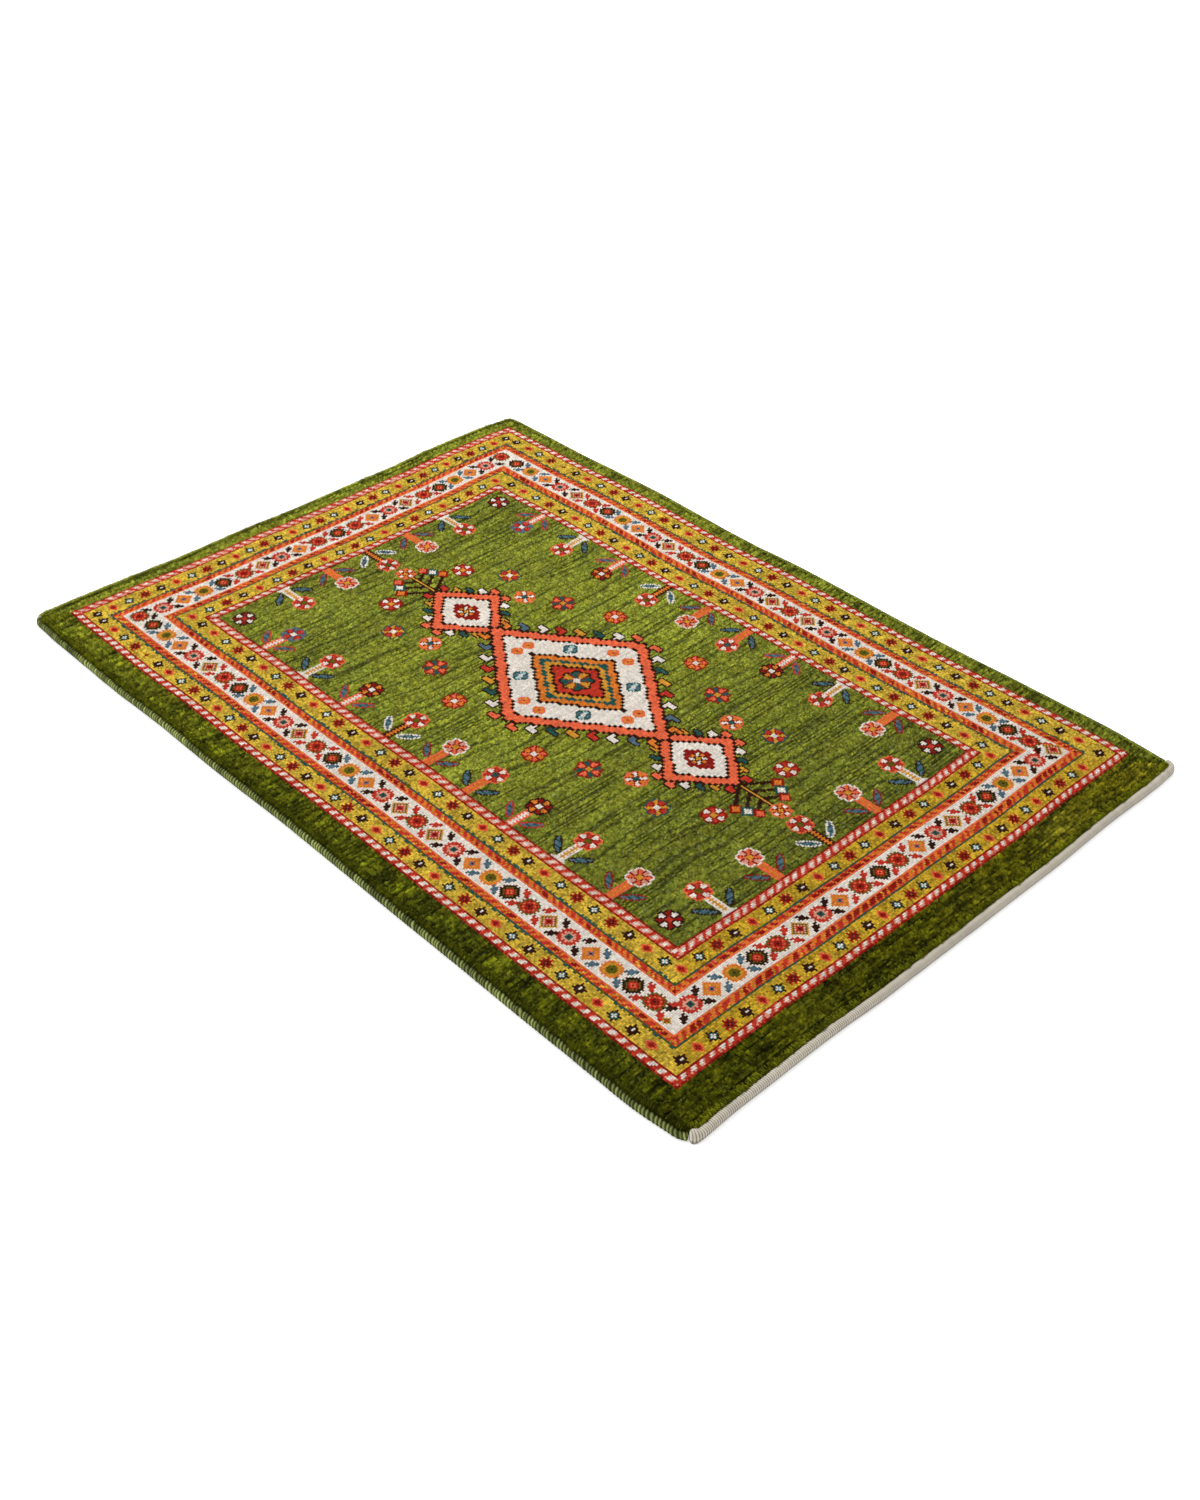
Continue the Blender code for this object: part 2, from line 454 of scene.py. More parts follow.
# The shrubs of each side: kind, and place in knots from the field's near left corner
NEAR_SHRUBS = (
    ("ivory", 32.8), ("coral", 66.9), ("brown", 101.0), ("coral", 136.4), ("ivory", 169.2),
)
FAR_SHRUBS = (
    ("ivory", 42.6), ("coral", 72.2), ("brown", 101.0), ("coral", 130.7), ("ivory", 159.5),
)
SIDE_SHRUBS = (
    ("coral", 44.0), ("ivory", 77.0), ("dark", 112.0), ("orange", 143.0), ("coral", 174.0),
    ("brown", 203.0), ("dark", 239.0), ("ivory", 274.0), ("pale", 307.0),
)
# How far the corner blossoms' middles are from the field's sides, its near end and its far end
CORNER_BLOSSOMS = (9.5, 14.5, 10.5)


class Side(IntEnum):
    """The rug's sides, in the order in which a stripe's widths are listed."""

    LEFT = 0
    RIGHT = 1
    NEAR = 2
    FAR = 3


class StripeKind(Enum):
    """How a border stripe is filled."""

    PLAIN = "plain"
    BARBER = "barber"
    CHAIN = "chain"
    DOTTED = "dotted"
    MOTIFS = "motifs"


@dataclass(frozen=True)
class Stripe:
    """One border stripe."""

    kind: StripeKind
    ground: Dye
    widths: Widths
    motifs: MotifRound | None = None
    lit: bool = False  # whether its outer edge is the one beside the ivory stripe


# The border from the rim inwards; widths are left, right, near, far
STRIPES = (
    Stripe(StripeKind.PLAIN, Dye.GUARD_GREEN, (14, 9, 18, 9)),
    Stripe(StripeKind.BARBER, Dye.RED, (5, 5, 5, 6)),
    Stripe(StripeKind.MOTIFS, Dye.YELLOW, (9, 11, 10, 10), OUTER_ROUND),
    Stripe(StripeKind.DOTTED, Dye.TEAL, (2, 2, 1, 2)),
    Stripe(StripeKind.CHAIN, Dye.ORANGE, (4, 4, 5, 4)),
    Stripe(StripeKind.MOTIFS, Dye.IVORY, (16, 15, 15, 15), IVORY_ROUND),
    Stripe(StripeKind.CHAIN, Dye.ORANGE, (4, 5, 4, 4), lit=True),
    Stripe(StripeKind.DOTTED, Dye.TEAL, (2, 2, 1, 1), lit=True),
    Stripe(StripeKind.MOTIFS, Dye.YELLOW, (10, 11, 9, 10), INNER_ROUND),
    Stripe(StripeKind.BARBER, Dye.RED, (6, 5, 6, 5)),
)


@dataclass(frozen=True)
class Block:
    """A rectangle of knots, from the first to before the last."""

    left: int
    right: int
    near: int
    far: int

    def shrunk(self, widths: Widths) -> "Block":
        """The block inside a stripe of the given widths."""
        left, right, near, far = widths
        return Block(self.left + left, self.right - right, self.near + near, self.far - far)

    def mask(self, shape: tuple[int, int]) -> Array:
        """Which knots of a rug with that many rows and columns are in the block."""
        j, i = np.mgrid[0 : shape[0], 0 : shape[1]]
        return (i >= self.left) & (i < self.right) & (j >= self.near) & (j < self.far)


@dataclass(frozen=True)
class StripeKnots:
    """Where each knot of the rug lies in one border stripe."""

    ring: Array  # whether it is in the stripe
    side: Array  # the side of the rug that it belongs to; the corners are mitred
    depth: Array  # how many knots lie between it and the stripe's outer edge
    width: Array
    run: Array  # its row on the left and right sides, and its column on the near and far ones

    @classmethod
    def inside(cls, outer: Block, widths: Widths, shape: tuple[int, int]) -> "StripeKnots":
        """Work out a stripe along the inside of a block.

        Args:
            outer: the block.
            widths: the stripe's width on each side.
            shape: the rug's rows and columns.

        Returns:
            The place of each knot of the rug in the stripe.
        """
        j, i = np.mgrid[0 : shape[0], 0 : shape[1]]
        depths = np.stack([i - outer.left, outer.right - 1 - i, j - outer.near, outer.far - 1 - j])
        side = np.argmin((depths + 0.5) / np.array(widths).reshape(4, 1, 1), axis=0)
        return cls(
            ring=outer.mask(shape) & ~outer.shrunk(widths).mask(shape),
            side=side,
            depth=np.take_along_axis(depths, side[None], axis=0)[0],
            width=np.array(widths)[side],
            run=np.where(side <= Side.RIGHT, j, i),
        )

    def turned(self) -> "StripeKnots":
        """The same knots with the depth counted from the stripe's inner edge."""
        return replace(self, depth=self.width - 1 - self.depth)


@dataclass(frozen=True)
class BarberWeave:
    """Slanting ivory patches on red, between two dark lines."""

    pitch: float = 5.6  # from one patch to the next, in knots
    # how far the patches shift with each knot inwards, on each side of the rug
    slants: tuple[float, float, float, float] = (0.55, -0.55, -0.9, -0.9)
    uneven: float = 0.2  # how much their places differ, as a share of the pitch
    blush: float = 0.6
    ivory: Pair = (0.1, 0.48)  # shares of the pitch between which it is ivory
    blurred: float = 0.6  # share of the pink that is left in the near side's outer row
    lighter: float = 0.3  # share of plain red knots in the dark lines

    def weave(self, dye: Array, knots: StripeKnots) -> None:
        """Put the patches on the ground.

        Args:
            dye: each knot's dye, changed here.
            knots: the stripe.
        """
        ring, side, depth, width, run = knots.ring, knots.side, knots.depth, knots.width, knots.run
        phase = (run + depth * np.array(self.slants)[side]) / self.pitch
        phase = phase % 1.0 + (scatter(np.floor(phase), side, 13.0) - 0.5) * self.uneven
        middle = ring & (depth > 0) & (depth < width - 1)
        kept = (side != Side.NEAR) | (depth > 1)
        blurred = scatter(run, depth, 27.0) < self.blurred
        dye[middle & (phase < self.blush) & (kept | blurred)] = Dye.BLUSH
        core = middle & ((width < 6) | (depth > 1)) & (depth < np.maximum(width - 2, 4))
        core = core & kept & ((side != Side.FAR) | (depth < 3))
        dye[core & (phase > self.ivory[0]) & (phase < self.ivory[1])] = Dye.IVORY
        edge = ring & ~middle
        dye[edge] = Dye.CRIMSON
        dye[edge & (scatter(run, depth, 3.0) < self.lighter)] = Dye.RED


@dataclass(frozen=True)
class ChainWeave:
    """Slanting red and dark dashes on orange, and a line of coral beside the ivory stripe."""

    pitch: float = 4.3  # from one dash to the next, in knots
    near_stretch: float = 1.2  # how much longer it is on the near side
    slant: float = 0.8  # how far the dashes shift with each knot of depth
    # how far they wander along the stripe, and over what length
    wander: Pair = (4.5, 6.0)
    # a dash's least share of the pitch, and how much more it may have
    dash: Pair = (0.4, 0.35)
    dark: float = 0.3  # share of the dashes that are dark
    near_dark: float = 0.55  # the same on the near side
    corals: float = 0.15
    yellows: float = 0.10
    breaks: float = 0.3  # share of the pitch in which the line is broken

    def weave(self, dye: Array, knots: StripeKnots) -> None:
        """Put the dashes and the line on the ground.

        Args:
            dye: each knot's dye, changed here.
            knots: the stripe, with its depth counted towards the ivory one.
        """
        ring, side, depth, run = knots.ring, knots.side, knots.depth, knots.run
        at_near = side == Side.NEAR
        slant = np.where((side == Side.LEFT) | (side == Side.FAR), self.slant, -self.slant)
        wander = cloud(run, side * 5.0, self.wander[1], 1.0, 17.0) * self.wander[0]
        stretch = np.where(at_near, self.near_stretch, 1.0)
        phase = (run + depth * slant + wander) / stretch / self.pitch
        number, phase = np.floor(phase), phase % 1.0
        own = scatter(number, side, 5.0)
        dash = ring & (phase < self.dash[0] + self.dash[1] * own)
        dye[dash] = Dye.RED
        dark = np.where(at_near, self.near_dark, self.dark)
        dye[dash & (own > 1 - dark) & (depth > 0)] = Dye.CRIMSON
        dye[ring & ~dash & (scatter(run // 2, depth, 15.0) < self.corals)] = Dye.CORAL
        dye[ring & ~dash & (scatter(run // 2, depth, 21.0) < self.yellows)] = Dye.YELLOW
        line = ring & (depth == knots.width - 1)
        dye[line] = Dye.CORAL
        dye[line & (phase < self.breaks)] = Dye.ORANGE


@dataclass(frozen=True)
class DotWeave:
    """A teal line broken by olive, ragged on the yellow side."""

    olives: float = 0.35
    # share of yellow knots on its yellow side, where it is two knots wide
    ragged: float = 0.6

    def weave(self, dye: Array, knots: StripeKnots) -> None:
        """Break up the teal line.

        Args:
            dye: each knot's dye, changed here.
            knots: the stripe, with its depth counted towards the ivory one.
        """
        ring, depth, run = knots.ring, knots.depth, knots.run
        dye[ring & (scatter(run, depth, 7.0) < self.olives)] = Dye.OLIVE
        ragged = (knots.width > 1) & (depth == 0) & (scatter(run, depth, 9.0) < self.ragged)
        dye[ring & ragged] = Dye.YELLOW


WEAVES = {
    StripeKind.BARBER: BarberWeave(),
    StripeKind.CHAIN: ChainWeave(),
    StripeKind.DOTTED: DotWeave(),
}


@dataclass
class RugChart:
    """Which dye each knot of the rug has."""

    columns: int = 346
    rows: int = 488
    dye: Array = field(init=False)  # the dye of each knot, the near row first
    guard_block: Block = field(init=False)  # the knots inside the plain outer stripe
    field_block: Block = field(init=False)

    def __post_init__(self) -> None:
        """Weave the border from the rim inwards, then the field."""
        self.dye = np.full((self.rows, self.columns), int(Dye.FIELD_GREEN))
        outer = Block(0, self.columns, 0, self.rows)
        self.guard_block = outer.shrunk(STRIPES[0].widths)
        for stripe in STRIPES:
            inner = outer.shrunk(stripe.widths)
            self._weave_stripe(outer, inner, stripe)
            outer = inner
        self.field_block = outer
        self._weave_shrubs()
        self._weave_corner_blossoms()
        Medallions(self, (outer.left + outer.right) / 2, (outer.near + outer.far) / 2).weave()

    def _weave_stripe(self, outer: Block, inner: Block, stripe: Stripe) -> None:
        """Fill one stripe.

        Args:
            outer: the block that it lies in.
            inner: the block that it leaves free.
            stripe: its dyes and widths.
        """
        knots = StripeKnots.inside(outer, stripe.widths, self.dye.shape)
        self.dye[knots.ring] = stripe.ground
        if stripe.kind is StripeKind.PLAIN:
            lighter = (knots.side == Side.RIGHT) | (knots.side == Side.FAR)
            self.dye[knots.ring & lighter] = Dye.FIELD_GREEN
        elif stripe.kind is StripeKind.MOTIFS:
            self._weave_motifs(outer, inner, stripe.motifs)
        else:
            WEAVES[stripe.kind].weave(self.dye, knots.turned() if stripe.lit else knots)

    def _weave_motifs(self, outer: Block, inner: Block, motifs: MotifRound) -> None:
        """Put a round of motifs along a stripe, with slanting leaves about each ring.

        Args:
            outer: the block that it lies in.
            inner: the block that it leaves free.
            motifs: what stands where.
        """
        along, across = LEAF_PLACE
        spots = []
        for column in ((outer.left + inner.left) / 2, (outer.right + inner.right) / 2):
            spots += [(letter, column, row, across, along) for letter, row in motifs.sides.places()]
        ends = (motifs.near, outer.near + inner.near), (motifs.far, outer.far + inner.far)
        for line, both in ends:
            spots += [(letter, column, both / 2, along, across) for letter, column in line.places()]
        for letter, column, row, leaf_u, leaf_v in spots:
            if letter in LEAF_DYES:
                leaf = chart(LEAF, LEAF_DYES[letter])
                for sign_u, sign_v in CORNERS:
                    slanted = leaf if sign_u == sign_v else leaf[:, ::-1]
                    stamp(self.dye, slanted, column + sign_u * leaf_u, row + sign_v * leaf_v)
        for letter, column, row in (*motifs.corners, *(spot[:3] for spot in spots)):
            stamp(self.dye, motifs.motifs[letter], column, row)

    def _weave_shrubs(self) -> None:
        """Shrubs stand on all four sides of the field, with their flowers inwards."""
        block = self.field_block
        made = {name: kind.charted() for name, kind in SHRUB_KINDS.items()}
        high = made["ivory"].shape[0] / 2
        for name, column in NEAR_SHRUBS:
            stamp(self.dye, made[name], block.left + column, block.near + high)
        for name, column in FAR_SHRUBS:
            stamp(self.dye, made[name][::-1], block.left + column, block.far - high)
        for name, row in SIDE_SHRUBS:
            turned = made[name].T
            stamp(self.dye, turned, block.left + high, block.near + row)
            stamp(self.dye, turned[:, ::-1], block.right - high, block.near + row)

    def _weave_corner_blossoms(self) -> None:
        """A blossom in each corner of the field."""
        block = self.field_block
        in_side, in_near, in_far = CORNER_BLOSSOMS
        made = blossom(6.6, 8, "KWMKR")
        for column in (block.left + in_side, block.right - in_side):
            for row in (block.near + in_near, block.far - in_far):
                stamp(self.dye, made, column, row)


@dataclass(frozen=True)
class Lozenge:
    """A stepped lozenge with latch hooks."""

    half: Pair  # half its width and height, in knots
    hooks: int  # latch hooks on each of its four sides
    reach: float  # how far a hook stands out
    # nested rings, each with the level at which it starts and its dye's letter
    rings: tuple[tuple[float, str], ...]


LARGE_LOZENGE = Lozenge(
    half=(50.0, 66.0),
    hooks=8,
    reach=7.0,
    rings=(
        (1.06, "K"), (1.02, "C"), (0.90, "K"), (0.87, "W"), (0.56, "K"),
        (0.52, "O"), (0.44, "T"), (0.39, "G"), (0.33, "K"), (0.29, "R"),
    ),
)
SMALL_LOZENGE = Lozenge(
    half=(24.0, 27.0),
    hooks=5,
    reach=5.0,
    rings=((1.10, "K"), (1.02, "C"), (0.80, "K"), (0.72, "W"), (0.40, "M")),
)

# A lozenge's hooks, from its middle outwards
HOOK_DYES = "CWTGRWSO"
# The trees' branches: height on the trunk, reach, and letters of the bud's rim and heart
BRANCHES = ((3, 15, "MO"), (10, 12, "TW"), (17, 9, "MC"))
# Radii of a bud's rim and heart
BUD_RADII = (4.2, 2.6)
# How far the trees' branches rise with each knot outwards
BRANCH_SLOPE = 0.7
# The rosettes on the field: letters, radius, and columns and rows from the middle
ROSETTES = (
    ("MCTMG", 7.2, 46.0, 58.0),
    ("COWMT", 6.2, 34.0, 78.0),
    ("TRGMW", 6.8, 42.0, 100.0),
    ("MWRMG", 6.4, 26.0, 122.0),
    ("MOCMW", 6.8, 58.0, 30.0),
)


@dataclass(frozen=True)
class Medallions:
    """The field's lozenges, drawn from formulas on the knots.

    A knot's place is counted in steps from the middle, for stepped sides. Its level is
    |u| / half width + |v| / half height: 0 in the middle, 1 on the side.
    """

    chart: RugChart
    column: float
    row: float
    step: int = 2  # a step of the lozenges' sides, in knots
    overlap: float = 5.0  # how far the small lozenges reach into the large one
    thick: float = 1.3  # half the thickness of the hooks and branches
    tree_overlap: float = 3.0  # how far a tree's foot reaches into its lozenge
    trunk: float = 27.0
    bud_level: float = 0.72  # the level of the small flowers on the large lozenge

    @property
    def small_row(self) -> float:
        """Rows from the field's middle to a small lozenge's."""
        return LARGE_LOZENGE.half[1] + SMALL_LOZENGE.half[1] - self.overlap

    def weave(self) -> None:
        """Draw everything, from the ground up."""
        for end in (-1, 1):
            self._pole(end)
            self._tree(end)
        for end in (-1, 1):
            self._lozenge(SMALL_LOZENGE, end * self.small_row)
        self._lozenge(LARGE_LOZENGE, 0.0)
        self._hearts()
        for letters, radius, u, v in ROSETTES:
            self._stamp_four(blossom(radius, 8, letters), u, v)

    def _stamp_four(self, motif: Array, u: float, v: float) -> None:
        """Put a motif at the four places that are u columns and v rows from the middle."""
        for sign_u, sign_v in CORNERS:
            stamp(self.chart.dye, motif, self.column + sign_u * u, self.row + sign_v * v)

    def _local(self, v0: float = 0.0) -> Arrays:
        """Each knot's columns and rows from a middle that is v0 rows up the field."""
        j, i = np.mgrid[0 : self.chart.rows, 0 : self.chart.columns]
        return i + 0.5 - self.column, j + 0.5 - (self.row + v0)

    def _lozenge(self, lozenge: Lozenge, v0: float) -> None:
        """Draw the hooks, then the nested stepped rings, each from its level inwards.

        Args:
            lozenge: its sizes and dyes.
            v0: rows from the field's middle to its own.
        """
        u, v = (np.abs(place) for place in self._local(v0))
        self._hooks(lozenge, u, v)
        half_u, half_v = lozenge.half
        level = (u // self.step + 0.5) * self.step / half_u
        level = level + (v // self.step + 0.5) * self.step / half_v
        for limit, letter in lozenge.rings:
            self.chart.dye[level < limit] = LETTERS[letter]

    def _hooks(self, lozenge: Lozenge, u: Array, v: Array) -> None:
        """Latch hooks out of all four sides: an arm straight out, and a barb towards the tip.

        Args:
            lozenge: its sizes.
            u: columns from each knot to its middle.
            v: rows from each knot to its middle.
        """
        half_u, half_v = lozenge.half
        for number, letter in enumerate(HOOK_DYES[: lozenge.hooks]):
            share = (number + 0.6) / lozenge.hooks
            side_u, up = half_u * (1 - share), v - half_v * share
            tip = side_u + lozenge.reach
            arm = (np.abs(up) < self.thick) & (u > side_u - 4) & (u < tip)
            barb = (up > -self.thick) & (up < lozenge.reach * 0.75)
            shape = arm | (barb & (np.abs(u - (tip - 1.2)) < self.thick))
            halo = self._grown(shape) & ~shape
            self.chart.dye[halo & (u > side_u)] = Dye.BROWN
            self.chart.dye[shape] = LETTERS[letter]

    @staticmethod
    def _grown(mask: Array) -> Array:
        """Add the knots beside a shape.

        Args:
            mask: whether each knot is in it.

        Returns:
            Whether each knot is in it or beside it.
        """
        grown = mask.copy()
        grown[1:] |= mask[:-1]
        grown[:-1] |= mask[1:]
        grown[:, 1:] |= mask[:, :-1]
        grown[:, :-1] |= mask[:, 1:]
        return grown

    def _pole(self, end: int) -> None:
        """A bar that joins the large lozenge to a small one.

        Args:
            end: -1 for near, 1 for far.
        """
        u, v = self._local()
        first = LARGE_LOZENGE.half[1] - 8
        last = self.small_row - SMALL_LOZENGE.half[1] + 12
        inside = (v * end > first) & (v * end < last)
        for half_width, dye in ((4, Dye.BROWN), (3, Dye.CORAL), (1, Dye.GOLD)):
            self.chart.dye[inside & (np.abs(u) < half_width)] = dye

    def _tree(self, end: int) -> None:
        """A small tree: a trunk, three pairs of slanting branches with buds, and a blossom.

        Args:
            end: -1 for near, 1 for far.
        """
        u, v = self._local()
        foot = self.small_row + SMALL_LOZENGE.half[1] - self.tree_overlap
        up, side = v * end - foot, np.abs(u)
        for height, reach, letters in BRANCHES:
            rise = up - height - side * BRANCH_SLOPE
            branch = (np.abs(rise) < self.thick) & (side > 1) & (side < reach)
            self.chart.dye[branch] = Dye.BROWN
            bud = np.abs(side - reach) + np.abs(up - height - reach * BRANCH_SLOPE - 1)
            for radius, letter in zip(BUD_RADII, letters):
                self.chart.dye[bud < radius] = LETTERS[letter]
        trunk = (up > -self.tree_overlap) & (up < self.trunk) & (side < 1.5)
        self.chart.dye[trunk] = Dye.BROWN
        self.chart.dye[trunk & (side < 0.6)] = Dye.GOLD
        top = self.row + end * (foot + self.trunk + 2)
        stamp(self.chart.dye, blossom(5.6, 8, "CWOMG"), self.column, top)

    def _hearts(self) -> None:
        """Stars in the middle of the lozenges, and small flowers on the large one."""
        stamp(self.chart.dye, blossom(9.2, 8, "KGTMW", rim=1.2), self.column, self.row)
        for end in (-1, 1):
            star = blossom(5.4, 8, "MOWKG")
            stamp(self.chart.dye, star, self.column, self.row + end * self.small_row)
        bud, pip = blossom(3.6, 4, "CGOCM"), blossom(4.4, 4, "TLSTW")
        half_u, half_v = LARGE_LOZENGE.half
        for share, motif in ((0.12, bud), (0.5, pip), (0.88, bud)):
            u, v = self.bud_level * half_u * share, self.bud_level * half_v * (1 - share)
            self._stamp_four(motif, u, v)


# -------------------- the rug's form


@dataclass(frozen=True)
class RugSizes:
    """Sizes of the rug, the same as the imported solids'.

    The half width and half length are the pile's, and the shoulder is how far its rounded rim
    reaches in. Corner radii are near left, near right, far right and far left. The right trim is
    how far past each right corner the right cord starts and ends.
    """

    half_width: float = 416.3 * MM
    half_length: float = 585.6 * MM
    shoulder: float = 5.0 * MM
    gap: float = 0.4 * MM
    foundation: float = 2.4 * MM
    corner_radii: tuple[float, ...] = (14.0 * MM, 7.0 * MM, 6.5 * MM, 12.0 * MM)
    flat: Pair = (0.85, 1.192)
    right_trim: Pair = (0.4 * MM, -0.9 * MM)


@dataclass(frozen=True)
class Table:
    """Values along a length, eased from one to the next."""

    places: tuple[float, ...]
    values: tuple[float, ...]
    unit: float = 1.0  # what the values are counted in

    def at(self, place: Array) -> Array:
        """Read the table: between two places the value follows half a cosine wave.

        Args:
            place: where to read it; outside the table the end values hold.

        Returns:
            The value at each place.
        """
        places, values = np.array(self.places), np.array(self.values) * self.unit
        row = np.clip(np.searchsorted(places, place) - 1, 0, len(places) - 2)
        part = np.clip((place - places[row]) / (places[row + 1] - places[row]), 0.0, 1.0)
        return values[row] + (values[row + 1] - values[row]) * (0.5 - 0.5 * np.cos(math.pi * part))


# The pile's rounded shoulder: distances in from its side, and heights
PILE_INSETS = (0.0, 0.7 * MM, 2.4 * MM, 5.0 * MM)
PILE_HEIGHTS = (8.8 * MM, 10.9 * MM, 12.2 * MM, 12.7 * MM)

# How far each side wanders out of its straight line, at shares of the side's length. The left and
# right sides are read from near to far, the near and far ends from left to right.
LEFT_WANDER = Table(
    (0.00, 0.06, 0.17, 0.33, 0.52, 0.66, 0.75, 0.83, 0.94, 1.00),
    (-3.0, 1.6, 0.6, -1.0, -3.0, -1.2, -2.2, -0.2, -1.8, -4.0),
    MM,
)
RIGHT_WANDER = Table(
    (0.00, 0.08, 0.16, 0.30, 0.49, 0.58, 0.74, 0.88, 1.00),
    (-2.0, 3.0, 1.6, -1.4, 1.6, -2.2, 2.6, -1.4, -1.6),
    MM,
)
NEAR_WANDER = Table(
    (0.00, 0.07, 0.22, 0.36, 0.54, 0.70, 0.83, 0.95, 1.00),
    (-2.0, -3.6, -3.2, 0.6, 2.0, 3.6, 2.0, 3.4, 2.0),
    MM,
)
FAR_WANDER = Table(
    (0.00, 0.12, 0.26, 0.41, 0.47, 0.70, 0.82, 0.92, 1.00),
    (-2.6, -2.4, -4.6, -2.0, -3.2, 0.6, 6.2, 6.8, 2.4),
    MM,
)


class RugPlan:
    """Where the points of a true rectangle lie on the real rug."""

    SIDE_POINTS = 2001

    def __init__(self, sizes: RugSizes, pile_box: tuple[Vector, Vector]) -> None:
        """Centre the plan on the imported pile.

        Args:
            sizes: the rug's.
            pile_box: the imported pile's lowest and highest corner.
        """
        self.sizes = sizes
        self.middle = (0.0, 0.0)
        along = np.linspace(-1, 1, self.SIDE_POINTS)
        side = np.ones_like(along)
        x, y = self.place(
            np.concatenate([along, along, side, -side]) * sizes.half_width,
            np.concatenate([side, -side, along, along]) * sizes.half_length,
        )
        low, high = pile_box
        self.middle = (
            (x.min() + x.max() - low.x - high.x) / 2,
            (y.min() + y.max() - low.y - high.y) / 2,
        )

    def shares(self, x: Array, y: Array) -> Arrays:
        """Places as shares of the width and the length, from the left and from the near end."""
        across, along = x / self.sizes.half_width / 2 + 0.5, y / self.sizes.half_length / 2 + 0.5
        return np.clip(across, 0.0, 1.0), np.clip(along, 0.0, 1.0)

    def place(self, x: Array, y: Array) -> Arrays:
        """Bend points: each moves with each side in proportion to how near it is to that side.

        Args:
            x: places across the true rectangle.
            y: places along it.

        Returns:
            The same on the real rug.
        """
        across, along = self.shares(x, y)
        bent_x = x + across * RIGHT_WANDER.at(along) - (1 - across) * LEFT_WANDER.at(along)
        bent_y = y + along * FAR_WANDER.at(across) - (1 - along) * NEAR_WANDER.at(across)
        return bent_x - self.middle[0], bent_y - self.middle[1]

    def inset(self, x: Array, y: Array) -> Array:
        """How far in from the pile's side each point of the true rectangle is."""
        return np.minimum(self.sizes.half_width - np.abs(x), self.sizes.half_length - np.abs(y))

    def at_end(self, x: Array, y: Array) -> Array:
        """Whether each point is nearer to one of the rug's ends than to its sides."""
        return self.sizes.half_width - np.abs(x) > self.sizes.half_length - np.abs(y)

    def rounded(self, x: Array, y: Array) -> Arrays:
        """Round the rectangle's corners.

        In the square at each corner the point (a, b), in radii from the arc's centre, goes to
        (a * sqrt(1 - b * b / 2), b * sqrt(1 - a * a / 2)), which takes the outer sides to the arc.

        Args:
            x: places across the true rectangle.
            y: places along it.

        Returns:
            The same with rounded corners.
        """
        made_x, made_y = x.copy(), y.copy()
        for (sign_x, sign_y), radius in zip(CORNERS, self.sizes.corner_radii):
            centre_x = sign_x * (self.sizes.half_width - radius)
            centre_y = sign_y * (self.sizes.half_length - radius)
            a, b = (x - centre_x) / radius, (y - centre_y) / radius
            inside = (a * sign_x > 0) & (b * sign_y > 0)
            arc_x = centre_x + radius * a * np.sqrt(1 - b * b * inside / 2)
            arc_y = centre_y + radius * b * np.sqrt(1 - a * a * inside / 2)
            made_x, made_y = np.where(inside, arc_x, made_x), np.where(inside, arc_y, made_y)
        return made_x, made_y

    @staticmethod
    def height(inset: Array) -> Array:
        """Height of the pile's shorn surface at a distance in from its side."""
        return np.interp(inset, PILE_INSETS, PILE_HEIGHTS)


class Rim:
    """The line round the pile's shoulder, measured along the middle of the cords beside it.

    It starts halfway round the near left corner and runs along the near, right, far and left sides.
    Every point has the way out of the rug there.
    """

    ARC_POINTS = 41

    def __init__(self, plan: RugPlan, cord_width: float) -> None:
        """Lay the line out and measure it.

        Args:
            plan: the rug's.
            cord_width: of the cord whose middle is measured.
        """
        sizes = plan.sizes
        self.plan = plan
        half_x, half_y = sizes.half_width - sizes.shoulder, sizes.half_length - sizes.shoulder
        starts, ends = (225.0, 270.0, 0.0, 90.0, 180.0), (270.0, 360.0, 90.0, 180.0, 225.0)
        radii = (*sizes.corner_radii, sizes.corner_radii[0])
        parts = []
        signs = (*CORNERS, CORNERS[0])
        for (sign_x, sign_y), start, end, side_radius in zip(signs, starts, ends, radii):
            radius = side_radius - sizes.shoulder
            angle = np.radians(np.linspace(start, end, self.ARC_POINTS))
            out = np.stack([np.cos(angle), np.sin(angle)], axis=1)
            centre = np.array([sign_x * (half_x - radius), sign_y * (half_y - radius)])
            parts.append(np.hstack([centre + radius * out, out]))
        self.points = np.vstack(parts)
        to_middle = sizes.shoulder + sizes.gap + cord_width / 2
        middle = self.points[:, :2] + self.points[:, 2:] * to_middle
        steps = np.hypot(*np.diff(middle, axis=0).T)
        self.run = np.concatenate([[0.0], np.cumsum(steps)])

    def arc(self, corner: int, share: float) -> float:
        """The run at a share of the arc of a corner, numbered as in CORNERS."""
        return float(self.run[corner * self.ARC_POINTS + round(share * (self.ARC_POINTS - 1))])

    def side(self, run: Array) -> Array:
        """The side of the rug that each run lies on, parted in the middle of the corners."""
        sides = np.array([Side.NEAR, Side.RIGHT, Side.FAR, Side.LEFT])
        return sides[np.searchsorted([self.arc(corner, 0.5) for corner in (1, 2, 3)], run)]

    def at(self, run: Array, out: Array) -> Arrays:
        """Find places on the rug.

        Args:
            run: how far along the rim.
            out: how far out of the pile's side.

        Returns:
            The places across and along the rug.
        """
        x, y, out_x, out_y = (np.interp(run, self.run, column) for column in self.points.T)
        reach = self.plan.sizes.shoulder + out
        return self.plan.place(x + out_x * reach, y + out_y * reach)


# -------------------- finishes


def linear(colour: tuple[float, ...] | Array) -> Array:
    """sRGB shares as the linear values that a shader takes."""
    colour = np.asarray(colour, float)
    return np.where(colour <= 0.04045, colour / 12.92, ((colour + 0.055) / 1.055) ** 2.4)


